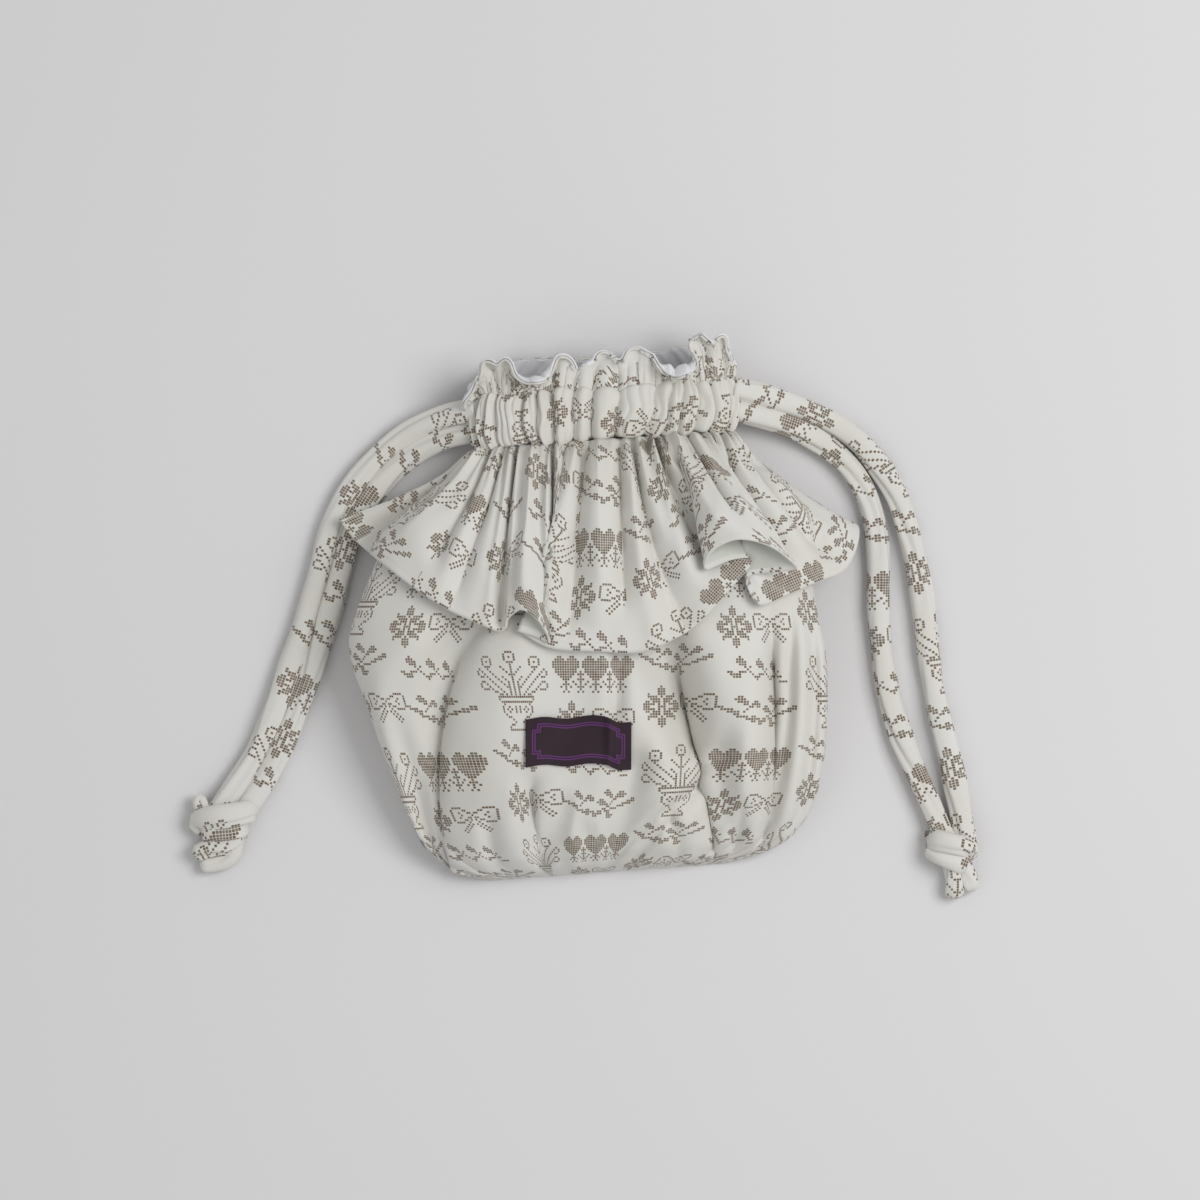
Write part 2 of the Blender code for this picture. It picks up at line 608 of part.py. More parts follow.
def frill_grid():
    """The frill's inner face, from the casing's edge to its rim: standing up, then falling."""
    rim = np.stack([column(RIM, name) for name in ("across", "rise", "height", "stand")], axis=-1)
    rim = ring_average(round_curve(rim, FRILL_PER_FOLD), 2)
    turn = round_curve(unwrapped(column(RIM, "turn")), FRILL_PER_FOLD)
    turn = turn + np.arange(len(turn)) / len(turn)
    foot = casing_surface(turn, np.ones_like(turn), CASING_WALL)
    foot[:, 1] += GAP + FRILL_WALL * 0.8
    edge_x = NECK_SHIFT + rim[:, 0] * NECK_WIDTH / 2
    edge_y = GAP + CASING_LENGTH + rim[:, 1] * FRILL_LENGTH + MOUTH_SLOPE * (edge_x - NECK_SHIFT)
    edge = np.stack([edge_x, edge_y, neck_lift() + (rim[:, 2] - 0.2) * NECK_HEIGHT], axis=-1)
    knee = 0.55 * foot + 0.45 * edge
    knee[:, 1] = foot[:, 1] + rim[:, 3] * FRILL_LENGTH
    fine = np.linspace(0.0, 1.0, 25)[:, None, None]
    bend = (1 - fine) ** 2 * foot + 2 * fine * (1 - fine) * knee + fine**2 * edge
    share = np.linspace(0.0, 1.0, FRILL_ROWS)[:, None, None]
    grid = even_rows(bend, FRILL_ROWS)
    fallen = smoothstep(grid[..., 1] - foot[:, 1], FALL_CLEARANCE, 0.0) * smoothstep(share[..., 0], 0.3, 0.6)
    above = softer_max(grid[..., 2], casing_top(grid[..., 0], DRAPE_CLEARANCE), LAY_ROUNDING)
    grid[..., 2] += (above - grid[..., 2]) * fallen * (np.sin(2 * math.pi * turn) > 0)
    ripple = gathers(turn, CASING_GATHERS, 2)[None, :, None] - 0.5
    normals = outward_normals(grid)
    return grid + normals * ripple * FRILL_DEPTH * 0.3 * share * (1 - share) * 4


def make_frill():
    grid = frill_grid()
    return sheet("top_frill", grid[::-1], FRILL_WALL, 1.0, PRINTED_KNIT)


def make_lining():
    grid = frill_grid()
    inner = (grid - outward_normals(grid) * GAP * 1.5)[:-1]
    return sheet("lining", inner[::-1], LINING_WALL, -1.0, LINING_WHITE)


def hem_curve():
    """The hem and the turn that each of its points is sewn at."""
    names = ("across", "down", "height")
    hem = np.stack([column(HEM, name) for name in names], axis=-1)
    hem = ring_average(round_curve(hem, FLOUNCE_PER_FOLD), 1)
    turn = round_curve(unwrapped(column(HEM, "turn")), FLOUNCE_PER_FOLD)
    turn = turn + np.arange(len(turn)) / len(turn)
    x = FLOUNCE_SHIFT + hem[:, 0] * FLOUNCE_SPAN / 2
    y = -hem[:, 1] * FLOUNCE_DROP
    z = hem[:, 2] * BODY_HEIGHT + FLOUNCE_WALL / 2
    return np.stack([x, y, z], axis=-1), turn


def flounce_grid():
    """The flounce's middle: from the neck, out over the pouch, with folds that open to the hem."""
    hem, turn = hem_curve()
    neck = body_surface(turn, np.full_like(turn, 0.012), -GAP - FLOUNCE_WALL / 2 - SEAM_ALLOWANCE)
    smooth = ring_average(hem, 4 * FLOUNCE_PER_FOLD)
    front = smoothstep(np.sin(2 * math.pi * turn), -0.02, 0.12)
    rows = []
    for share in np.linspace(0.0, 1.0, FLOUNCE_ROWS):
        opening = share**FOLD_OPENING
        level = neck + (smooth - neck) * share
        point = level + (hem - smooth) * opening
        rise = 1 - (1 - share) ** 1.8
        point[:, 2] = neck[:, 2] + (smooth[:, 2] - neck[:, 2]) * (front * rise + (1 - front) * share)
        point[:, 2] += (hem[:, 2] - smooth[:, 2]) * opening
        clear = body_top(point[:, 0], point[:, 1], DRAPE_CLEARANCE)
        lifted = softer_max(point[:, 2], clear + SEAM_ALLOWANCE, LAY_ROUNDING)
        point[:, 2] += (lifted - point[:, 2]) * front * smoothstep(share, 0.0, 0.1)
        pleat = FLOUNCE_PLEAT * gathers(turn, FLOUNCE_PLEATS, 3) * 4 * share * (1 - share)
        point[:, 2] += pleat * front
        under = body_bottom(point[:, 0], point[:, 1], DRAPE_CLEARANCE)
        pressed = np.maximum(-softer_max(-point[:, 2], -under, LAY_ROUNDING), FLOUNCE_WALL / 2 + GAP)
        point[:, 2] += (pressed - point[:, 2]) * (1 - front) * smoothstep(share, 0.0, 0.1)
        rows.append(point)
    return np.array(rows)


def make_flounce():
    return sheet("flounce", flounce_grid(), FLOUNCE_WALL, 0.0, PRINTED_KNIT)


def make_label():
    """A woven label that follows the pouch's front, its right end buckled over a small fold."""
    columns = 12
    rows = 4
    across = np.linspace(-0.5, 0.5, columns) * LABEL_WIDTH
    down = np.linspace(-0.5, 0.5, rows) * LABEL_HEIGHT
    across, down = np.meshgrid(across, down)
    buckle = smoothstep(across / LABEL_WIDTH, 0.28, 0.42)
    x = LABEL_ACROSS + across
    y = -LABEL_DOWN - down - 0.05 * LABEL_WIDTH * buckle + 0.03 * across
    z = body_top(x, y, 0.0) + GAP * 2 + LABEL_WALL / 2
    z += LABEL_BUCKLE * np.exp(-((across / LABEL_WIDTH - 0.3) / 0.07) ** 2)
    points = np.stack([x, y, z], axis=-1).reshape(-1, 3)
    faces = []
    for row in range(rows - 1):
        for step in range(columns - 1):
            a = row * columns + step
            faces.append((a, a + columns, a + columns + 1, a + 1))
    made = new_object("label", points, faces, LABEL_PURPLE, 0.7)
    solidify = made.modifiers.new("wall", "SOLIDIFY")
    solidify.thickness = LABEL_WALL
    solidify.offset = 0.0
    return made


def smooth_route(points, count):
    """Evenly spaced points on a smooth curve through a route's own points."""
    points = np.array(points)
    extended = np.concatenate([[2 * points[0] - points[1]], points, [2 * points[-1] - points[-2]]])
    fine = []
    for index in range(1, len(extended) - 2):
        before, here, after, second = extended[index - 1 : index + 3]
        for share in np.linspace(0.0, 1.0, 12, endpoint=False):
            fine.append(
                0.5
                * (
                    2 * here
                    + (after - before) * share
                    + (2 * before - 5 * here + 4 * after - second) * share**2
                    + (3 * here - before - 3 * after + second) * share**3
                )
            )
    fine = np.array(fine + [extended[-2]])
    reach = np.concatenate([[0.0], np.cumsum(np.linalg.norm(np.diff(fine, axis=0), axis=1))])
    at = np.linspace(0.0, reach[-1], count)
    return np.stack([np.interp(at, reach, fine[:, axis]) for axis in range(3)], axis=-1)


def make_cord(name, route):
    curve = bpy.data.curves.new(name, "CURVE")
    curve.dimensions = "3D"
    curve.bevel_depth = CORD_DIAMETER / 2
    curve.bevel_resolution = 2
    curve.use_fill_caps = True
    points = smooth_route(route, 18)
    spline = curve.splines.new("POLY")
    spline.points.add(len(points) - 1)
    for slot, point in zip(spline.points, points):
        slot.co = (*point, 1.0)
    made = bpy.data.objects.new(name, curve)
    dress(made, PRINTED_KNIT, CLOTH_ROUGHNESS)
    return made


def make_knot(knot):
    """A rounded knot with its tail, lying on the ground just past the two strands' ends."""
    first = np.array(CORD_ROUTES[knot.first])
    second = np.array(CORD_ROUTES[knot.second])
    forward = first[-1] - first[-2] + second[-1] - second[-2]
    forward[2] = 0.0
    forward /= np.linalg.norm(forward)
    start = (first[-1] + second[-1]) / 2 + forward * KNOT_SEAT
    start[2] = 0.0
    up = np.array([0.0, 0.0, 1.0])
    turned = math.radians(knot.tail_turn)
    tail = forward * math.cos(turned) + np.cross(up, forward) * math.sin(turned)
    stations = []
    for section in KNOT_SECTIONS:
        half = section.width * KNOT_WIDTH / 2
        stations.append((start + forward * section.along * KNOT_LENGTH, forward, half, half * KNOT_FLATNESS))
    tail_start = start + forward * KNOT_LENGTH
    for share, width in ((0.15, 1.0), (0.75, 1.0), (1.0, 0.7)):
        half = width * TAIL_DIAMETER / 2
        stations.append((tail_start + tail * share * TAIL_LENGTH, tail, half, half * 0.9))
    points = []
    for centre, direction, half_width, half_height in stations:
        sideways = np.cross(up, direction)
        for step in range(KNOT_AROUND):
            angle = 2 * math.pi * step / KNOT_AROUND
            across = sideways * half_width * math.cos(angle)
            points.append(centre + across + up * half_height * (1 + math.sin(angle)))
    faces = band_faces(len(stations), KNOT_AROUND, 0, False)
    last = (len(stations) - 1) * KNOT_AROUND
    faces.append(tuple(reversed(range(KNOT_AROUND))))
    faces.append(tuple(range(last, last + KNOT_AROUND)))
    return new_object(knot.name, points, faces, PRINTED_KNIT, CLOTH_ROUGHNESS)


def set_down(pieces):
    """Move the shared empty so that the pouch's own box stands centred on the origin."""
    corners = []
    for piece in pieces:
        points = np.array([tuple(vertex.co) for vertex in piece.data.vertices])
        corners.append(points.min(axis=0))
        corners.append(points.max(axis=0))
    corners = np.array(corners)
    middle = (corners.min(axis=0) + corners.max(axis=0)) / 2
    ground.location = (-middle[0], -middle[1], 0.0)


for old in list(bpy.data.objects):
    bpy.data.objects.remove(old, do_unlink=True)
parts = bpy.data.collections.new("reticule")
bpy.context.scene.collection.children.link(parts)
ground = bpy.data.objects.new("ground", None)
parts.objects.link(ground)

soft_pieces = [make_body(), make_flounce(), make_casing(), make_frill(), make_lining()]
make_label()
for cord_name, cord_route in CORD_ROUTES.items():
    make_cord(cord_name, cord_route)
for each_knot in KNOTS:
    make_knot(each_knot)
set_down(soft_pieces)
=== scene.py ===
"""A gathered drawstring pouch of printed cotton knit, lying on its back, seen from straight above."""
import math
from collections import namedtuple

import bpy
import numpy as np
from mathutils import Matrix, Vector, noise
from mathutils.bvhtree import BVHTree


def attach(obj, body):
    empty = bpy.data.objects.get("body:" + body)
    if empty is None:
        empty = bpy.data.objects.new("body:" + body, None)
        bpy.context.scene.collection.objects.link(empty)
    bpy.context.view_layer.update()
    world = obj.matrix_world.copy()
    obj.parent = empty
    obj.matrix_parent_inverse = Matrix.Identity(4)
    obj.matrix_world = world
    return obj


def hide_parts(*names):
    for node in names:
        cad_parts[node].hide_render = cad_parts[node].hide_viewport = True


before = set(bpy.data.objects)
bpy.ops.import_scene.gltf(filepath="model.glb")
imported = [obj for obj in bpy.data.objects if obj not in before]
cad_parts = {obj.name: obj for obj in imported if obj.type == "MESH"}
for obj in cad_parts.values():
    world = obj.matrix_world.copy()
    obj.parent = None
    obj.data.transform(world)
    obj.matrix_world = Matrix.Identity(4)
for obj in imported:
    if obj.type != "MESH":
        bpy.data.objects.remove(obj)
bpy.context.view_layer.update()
bpy.ops.object.select_all(action="DESELECT")

# The view: straight down from high above, so that the pouch's top and its foot show at one scale.
# METRES_PER_PIXEL is the photograph's scale on the pouch, and the picture is taken as 1200 pixels wide.
PICTURE_PIXELS = 1200
METRES_PER_PIXEL = 0.00042
VIEW_CENTRE = (0.0003, 0.0029, 0.020)
CAMERA_HEIGHT = 3.2
SENSOR_WIDTH = 36.0

lens = bpy.data.cameras.new("view")
lens.sensor_width = SENSOR_WIDTH
lens.lens = SENSOR_WIDTH * CAMERA_HEIGHT / (PICTURE_PIXELS * METRES_PER_PIXEL)
lens.clip_end = 20.0
camera = bpy.data.objects.new("view", lens)
camera.location = (VIEW_CENTRE[0], VIEW_CENTRE[1], VIEW_CENTRE[2] + CAMERA_HEIGHT)
bpy.context.scene.collection.objects.link(camera)
bpy.context.scene.camera = camera

# The drawstrings: two loops of narrow tube sewn from the pouch's own knit and turned right side out.
# Each loop leaves the casing on one side as two strands, soft and half flat, with lengthwise creases.
STRAND_WIDTH = 0.0096
STRAND_HEIGHT = 0.0074
STRAND_AROUND = 40
STRAND_STEP = 0.0011
STEPS_BETWEEN = 16
STRAND_CREASES = 3
# Where the pouch's own drawing has its origin, in the frame
DRAWING_ORIGIN = (0.000172, 0.070102, 0.0)
STRAND_ROUTES = {
    "cord_left_upper": (
        (-0.0562, 0.0120, 0.0150), (-0.0673, 0.0093, 0.0102), (-0.0796, 0.0039, 0.0065),
        (-0.0905, -0.0037, 0.0044), (-0.0998, -0.0132, 0.0043), (-0.1074, -0.0241, 0.0043),
        (-0.1128, -0.0361, 0.0043), (-0.1166, -0.0484, 0.0043), (-0.1198, -0.0606, 0.0043),
        (-0.1232, -0.0725, 0.0043), (-0.1269, -0.0844, 0.0043), (-0.1308, -0.0962, 0.0043),
        (-0.1349, -0.1078, 0.0043), (-0.1395, -0.1193, 0.0043), (-0.1445, -0.1304, 0.0043),
        (-0.1506, -0.1410, 0.0048), (-0.1574, -0.1513, 0.0056),
    ),
    "cord_left_lower": (
        (-0.0556, 0.0030, 0.0122), (-0.0645, 0.0008, 0.0091), (-0.0752, -0.0038, 0.0061),
        (-0.0847, -0.0105, 0.0044), (-0.0929, -0.0189, 0.0043), (-0.0996, -0.0285, 0.0043),
        (-0.1045, -0.0393, 0.0043), (-0.1080, -0.0509, 0.0043), (-0.1112, -0.0629, 0.0043),
        (-0.1147, -0.0751, 0.0043), (-0.1184, -0.0871, 0.0043), (-0.1223, -0.0991, 0.0043),
        (-0.1266, -0.1110, 0.0043), (-0.1313, -0.1228, 0.0043), (-0.1366, -0.1345, 0.0043),
        (-0.1430, -0.1456, 0.0048), (-0.1500, -0.1562, 0.0056),
    ),
    "cord_right_upper": (
        (0.0606, 0.0208, 0.0148), (0.0684, 0.0191, 0.0127), (0.0764, 0.0166, 0.0104),
        (0.0886, 0.0120, 0.0069), (0.1003, 0.0062, 0.0046), (0.1107, -0.0017, 0.0043),
        (0.1190, -0.0117, 0.0043), (0.1254, -0.0231, 0.0043), (0.1294, -0.0355, 0.0043),
        (0.1325, -0.0482, 0.0043), (0.1352, -0.0610, 0.0043), (0.1370, -0.0739, 0.0043),
        (0.1385, -0.0869, 0.0043), (0.1402, -0.0998, 0.0043), (0.1426, -0.1127, 0.0043),
        (0.1457, -0.1254, 0.0043), (0.1488, -0.1380, 0.0043), (0.1515, -0.1508, 0.0048),
        (0.1536, -0.1634, 0.0056),
    ),
    "cord_right_lower": (
        (0.0600, 0.0118, 0.0135), (0.0670, 0.0102, 0.0115), (0.0748, 0.0080, 0.0096),
        (0.0862, 0.0036, 0.0065), (0.0965, -0.0029, 0.0046), (0.1054, -0.0112, 0.0043),
        (0.1118, -0.0215, 0.0043), (0.1156, -0.0331, 0.0043), (0.1172, -0.0451, 0.0043),
        (0.1177, -0.0573, 0.0043), (0.1176, -0.0695, 0.0043), (0.1184, -0.0817, 0.0043),
        (0.1197, -0.0938, 0.0043), (0.1218, -0.1058, 0.0043), (0.1250, -0.1175, 0.0043),
        (0.1290, -0.1291, 0.0043), (0.1336, -0.1403, 0.0043), (0.1390, -0.1520, 0.0048),
        (0.1448, -0.1652, 0.0056),
    ),
}


def curve_between(before, here, after, second, share):
    """A smooth curve's points at shares of the way from here to after."""
    bend = 2 * before - 5 * here + 4 * after - second
    turn = 3 * here - before - 3 * after + second
    return 0.5 * (2 * here + (after - before) * share + bend * share**2 + turn * share**3)


def distances(points):
    """How far along its curve each point lies."""
    return np.concatenate([[0.0], np.cumsum(np.linalg.norm(np.diff(points, axis=0), axis=1))])


def evenly(points, count):
    """Points at even distances along a curve."""
    reach = distances(points)
    at = np.linspace(0.0, reach[-1], count)
    return np.stack([np.interp(at, reach, points[:, axis]) for axis in range(3)], axis=-1)


def smooth_curve(points, step):
    """Evenly spaced points on a smooth curve through the given ones."""
    points = np.array(points, dtype=float)
    ended = np.concatenate([[2 * points[0] - points[1]], points, [2 * points[-1] - points[-2]]])
    share = np.linspace(0.0, 1.0, STEPS_BETWEEN, endpoint=False)[:, None]
    fine = [curve_between(*four, share) for four in zip(ended, ended[1:], ended[2:], ended[3:])]
    fine = np.concatenate(fine + [points[-1:]])
    return evenly(fine, max(2, round(distances(fine)[-1] / step)))


def grid_faces(rows, around, closed, first=0, flip=False):
    """Quads between the rows of a grid whose rows may close into rings."""
    row, step = np.meshgrid(np.arange(rows - 1), np.arange(around if closed else around - 1), indexing="ij")
    after = (step + 1) % around
    here, below = row * around, (row + 1) * around
    quads = np.stack([here + step, here + after, below + after, below + step], axis=-1)
    quads = quads.reshape(-1, 4) + first
    return quads[:, ::-1] if flip else quads


def strip_faces(around, first, second):
    """Quads between two rings of points, given where each ring starts."""
    here = np.arange(around)
    after = (here + 1) % around
    return np.stack([first + here, first + after, second + after, second + here], axis=-1).tolist()


def cloth_object(name, points, faces, flat_places, by_corner=False):
    """A smooth mesh whose UV map holds the place of each point, or face corner, on the flat cloth."""
    mesh = bpy.data.meshes.new(name)
    mesh.from_pydata(points.reshape(-1, 3).tolist(), [], [list(map(int, face)) for face in faces])
    mesh.shade_smooth()
    corners = np.zeros(len(mesh.loops), dtype=np.int32)
    mesh.loops.foreach_get("vertex_index", corners)
    layer = mesh.uv_layers.new(name="flat_cloth")
    places = flat_places.reshape(-1, 2) if by_corner else flat_places.reshape(-1, 2)[corners]
    layer.data.foreach_set("uv", places.astype(np.float32).ravel())
    made = bpy.data.objects.new(name, mesh)
    bpy.context.scene.collection.objects.link(made)
    return made


class Shade:
    """A socket of a material's nodes that works in ordinary expressions."""

    def __init__(self, tree, socket):
        self.tree = tree
        self.socket = socket

    def math(self, operation, *values):
        return node(self.tree, "ShaderNodeMath", {"operation": operation}, dict(enumerate((self, *values))))

    def __add__(self, other):
        return self.math("ADD", other)

    __radd__ = __add__

    def __mul__(self, other):
        return self.math("MULTIPLY", other)

    __rmul__ = __mul__

    def __sub__(self, other):
        return self.math("SUBTRACT", other)

    def __rsub__(self, other):
        return self.math("MULTIPLY", -1.0).math("ADD", other)

    def __truediv__(self, other):
        return self.math("DIVIDE", other)

    def __lt__(self, other):
        return self.math("LESS_THAN", other)

    def __gt__(self, other):
        return self.math("GREATER_THAN", other)

    def __mod__(self, other):
        return self.math("FLOORED_MODULO", other)

    def floor(self):
        return self.math("FLOOR")

    def between(self, low, high):
        """0 at low, 1 at high, with soft ends."""
        ends = {"Value": self, "From Min": low, "From Max": high}
        return node(self.tree, "ShaderNodeMapRange", {"interpolation_type": "SMOOTHSTEP"}, ends)


def node(tree, kind, settings=(), inputs=(), output=0):
    """Adds a node: its settings first, a ramp's stops among them, then its sockets' values or links."""
    made = tree.nodes.new(kind)
    for name, value in dict(settings).items():
        if name == "stops":
            ramp = made.color_ramp
            ramp.interpolation = "CONSTANT"
            while len(ramp.elements) > 1:
                ramp.elements.remove(ramp.elements[-1])
            for index, (place, colour) in enumerate(value):
                stop = ramp.elements[0] if index == 0 else ramp.elements.new(place)
                stop.position = place
                stop.color = (*colour, 1.0)
        else:
            setattr(made, name, value)
    for name, value in dict(inputs).items():
        socket = made.inputs[name]
        if isinstance(value, Shade):
            tree.links.new(value.socket, socket)
        elif isinstance(value, (tuple, list)) and len(value) == 3 and len(socket.default_value) == 4:
            socket.default_value = (*value, 1.0)
        else:
            socket.default_value = value
    return Shade(tree, made.outputs[output])


def blend_colours(tree, share, first, second):
    """The first colour where the share is 0, and the second where it is 1."""
    return node(tree, "ShaderNodeMix", {"data_type": "RGBA"}, {0: share, 6: first, 7: second}, 2)


def parted(tree, kind, whole):
    """The three values of a vector or a colour."""
    parts = tree.nodes.new(kind)
    tree.links.new(whole.socket, parts.inputs[0])
    return [Shade(tree, output) for output in tuple(parts.outputs)[:3]]


def noise_at(tree, scale, detail):
    """Noise in the piece's own space."""
    place = node(tree, "ShaderNodeTexCoord", output=3)
    return node(tree, "ShaderNodeTexNoise", inputs={"Vector": place, "Scale": scale, "Detail": detail})


def new_material(name):
    """A new material and its tree of nodes."""
    material = bpy.data.materials.new(name)
    material.use_nodes = True
    return material, material.node_tree


def finish(tree, colour, roughness, specular, height=None, strength=0.0):
    """Gives a material its colour and gloss and, with a height, a relief of RELIEF_DEPTH."""
    shader = tree.nodes["Principled BSDF"]
    tree.links.new(colour.socket, shader.inputs["Base Color"])
    shader.inputs["Roughness"].default_value = roughness
    shader.inputs["Specular IOR Level"].default_value = specular
    if height is not None:
        relief = {"Strength": strength, "Distance": RELIEF_DEPTH, "Height": height}
        tree.links.new(node(tree, "ShaderNodeBump", inputs=relief).socket, shader.inputs["Normal"])
    return shader


# The print's motifs, each a chart of stitches, a common kind from cross-stitch samplers
HEARTS = """
..##...##.....##...##.....##...##..
.####.####...####.####...####.####.
###########.###########.###########
###########.###########.###########
###########.###########.###########
.#########...#########...#########.
.#########.#.#########.#.#########.
..#######.###.#######.###.#######..
...#####...#...#####...#...#####...
....###...###...###...###...###....
.....#..#..#..#..#..#..#..#..#.....
....###..#.#.#..###..#.#.#..###....
...#.#.#..###..#.#.#..###..#.#.#...
.....#.....#.....#.....#.....#.....
....#.#...#.#...#.#...#.#...#.#....
"""
STAR = """
.......#.......
......###......
......###......
..#...###...#..
..####.#.####..
...####.####...
.##.###.###.##.
#####.#.#.#####
###...###...###
#####.#.#.#####
.##.###.###.##.
...####.####...
..####.#.####..
..#...###...#..
......###......
......###......
.......#.......
"""
URN = """
...............###...............
..............#...#..............
.....###......#.#.#......###.....
....#...#.....#...#.....#...#....
....#.#.#......###......#.#.#....
....#...#.......#.......#...#....
.....###....#...#...#....###.....
..#...#......#..#..#......#...#..
.#.#...#......#.#.#......#...#.#.
.#..#...#......###......#...#..#.
..##.#...#..#...#...#..#...#.##..
......#...#..#..#..#..#...#......
..##...#...#..#.#.#..#...#...##..
.#..#...#...#.#.#.#.#...#...#..#.
.#...#...#...##.#.##...#...#...#.
..###.#...#...#.#.#...#...#.###..
.......##..#..#.#.#..#..##.......
.........##.#.#.#.#.#.##.........
........#################........
........#...............#........
.........###############.........
..........#...........#..........
.........#..#..#.#..#..#.........
.........#.#.#.#.#.#.#.#.........
.........#..#..#.#..#..#.........
..........#...........#..........
...........##.......##...........
.............#.....#.............
..............#...#..............
............##.....##............
...........#.........#...........
...........###########...........
"""
BOW = """
.####.........####..
#....##.....##....#.
#..#...##.##...#..#.
#...#....#....#...#.
#..#...##.##...#..#.
#....##.#.#.##....#.
.####..#...#..####..
......#.#.#.#.......
.....#.#...#.#......
....#.#.....#.#.....
...#.#.......#.#....
....#.........#.....
"""
SPRIG = """
......##............##............
.....####..........####....##.....
......####..##......####..####....
........##.####.......##.####.....
##........##.##..##.....##......##
.####....#......####...#......####
...####.#........####.#.....####..
.....##.............##....###.....
......####.##.....##..####........
.........######.##.###............
...........##.####..##............
..............##....####..........
....................###...........
"""
LEAVES = """
....#.......................
...###......#...............
...####....###......#.......
....###....####....###......
......#.#...###....####.....
.......#......#.#...###.....
##..###.#......#......#.#...
.####....#..###.#......#....
..###.....###....#.####.##..
...........#......##........
.........................###
"""

# How the motifs lie on the flat cloth. A cell is one stitch. The repeat's columns are dropped by half
# of it from one to the next.
PRINT_CELL = 0.00110
REPEAT_CELLS = (72, 76)
DOT_SHARE = 0.83
Motif = namedtuple("Motif", "name chart across down")
MOTIFS = (
    Motif("urn", URN, 2, 2),
    Motif("hearts", HEARTS, 36, 4),
    Motif("star", STAR, 36, 22),
    Motif("bow", BOW, 52, 25),
    Motif("sprig", SPRIG, 1, 37),
    Motif("leaves", LEAVES, 40, 42),
    Motif("second star", STAR, 3, 54),
    Motif("second bow", BOW, 19, 57),
    Motif("second sprig", SPRIG, 38, 58),
)
CHART_BITS = 18
KNIT_WHITE = (0.698, 0.684, 0.652)
KNIT_SHADOW = (0.620, 0.592, 0.515)
PRINT_BROWN = (0.115, 0.069, 0.031)
RIB_PITCH = 0.00042
STITCH_LENGTH = 0.0027
STITCH_SHARE = 0.78
THREAD_HALF = 0.00022
GROOVE_HALF = 0.0009
RELIEF_DEPTH = 0.0002
# A ramp holds up to 32 stops, one for each row of a chart
RAMP_ROWS = 32
DOT_SOFTNESS = 0.10
COURSES_PER_RIB = 1.3


def chart_stops(chart):
    """A chart's rows as a ramp's colours: each of the three values holds a run of stitches, 1 or 0."""
    rows = [row.ljust(3 * CHART_BITS, ".") for row in chart.strip().splitlines()]
    stops = []
    for index, row in enumerate(rows):
        runs = [row[start : start + CHART_BITS] for start in range(0, 3 * CHART_BITS, CHART_BITS)]
        whole = [int(run.replace("#", "1").replace(".", "0"), 2) for run in runs]
        stops.append((index / RAMP_ROWS, [(value + 0.5) / 2**CHART_BITS for value in whole]))
    return stops


def charted(tree, chart, column, row):
    """1 where the chart has a stitch at that column and row of cells."""
    rows = chart.strip().splitlines()
    width = len(rows[0])
    ramp = node(tree, "ShaderNodeValToRGB", {"stops": chart_stops(chart)}, {"Fac": (row + 0.5) / RAMP_ROWS})
    runs = parted(tree, "ShaderNodeSeparateColor", ramp)
    stitch = 0.0
    inside = (column > -0.5) * (column < width - 0.5) * (row > -0.5) * (row < len(rows) - 0.5)
    for index in range(math.ceil(width / CHART_BITS)):
        place = column - index * CHART_BITS
        here = (place > -0.5) * (place < CHART_BITS - 0.5)
        shift = node(tree, "ShaderNodeMath", {"operation": "POWER"}, {0: 2.0, 1: place + 1.0})
        stitch = (runs[index] * shift).floor() % 2.0 * here + stitch
    return stitch * inside


def printed_knit(name, start=(0.0, 0.0), stitch_rows=()):
    """White cotton jersey with a dotted brown print. start moves the print on the piece's flat cloth.

    stitch_rows are the places down the cloth where a row of stitching draws it in.
    """
    material, tree = new_material(name)
    flat = node(tree, "ShaderNodeUVMap", {"uv_map": "flat_cloth"})
    flat_x, flat_y, _ = parted(tree, "ShaderNodeSeparateXYZ", flat)
    across = (flat_x + start[0]) / PRINT_CELL
    down = (flat_y + start[1]) / PRINT_CELL
    strip = (across / REPEAT_CELLS[0]).floor()
    column = across % REPEAT_CELLS[0]
    row = (down + strip * (REPEAT_CELLS[1] / 2)) % REPEAT_CELLS[1]
    stitched = 0.0
    for motif in MOTIFS:
        motif_column, motif_row = column.floor() - motif.across, row.floor() - motif.down
        stitched = charted(tree, motif.chart, motif_column, motif_row) + stitched
    dots = stitched
    for place in (across, down):
        off = ((place % 1.0) - 0.5).math("ABSOLUTE")
        dots = dots * (1.0 - off.between(DOT_SHARE / 2 - DOT_SOFTNESS, DOT_SHARE / 2 + DOT_SOFTNESS))
    cloth = blend_colours(tree, noise_at(tree, 22.0, 3.0).between(0.25, 0.75) * 0.35, KNIT_WHITE, KNIT_SHADOW)
    ink = 0.80 + 0.20 * noise_at(tree, 420.0, 2.0).between(0.3, 0.7)
    inked = blend_colours(tree, dots * ink, cloth, PRINT_BROWN)
    waves = PRINT_CELL / RIB_PITCH * 2 * math.pi
    ribs = ((across * waves).math("SINE") * 0.5 + 0.5) * 0.6
    courses = ((down * (waves * COURSES_PER_RIB)).math("SINE") * 0.5 + 0.5) * 0.4
    height = (ribs + courses) * 0.7 + noise_at(tree, 900.0, 2.0) * 0.5
    for row_place in stitch_rows:
        off = (flat_y - row_place).math("ABSOLUTE")
        dash = ((flat_x / STITCH_LENGTH) % 1.0) < STITCH_SHARE
        height = height + off.between(0.0, GROOVE_HALF) * 1.4 + (off < THREAD_HALF) * dash * 1.6
    shader = finish(tree, inked, 0.92, 0.25, height, 0.30)
    shader.inputs["Sheen Weight"].default_value = 0.12
    shader.inputs["Sheen Roughness"].default_value = 0.5
    return material


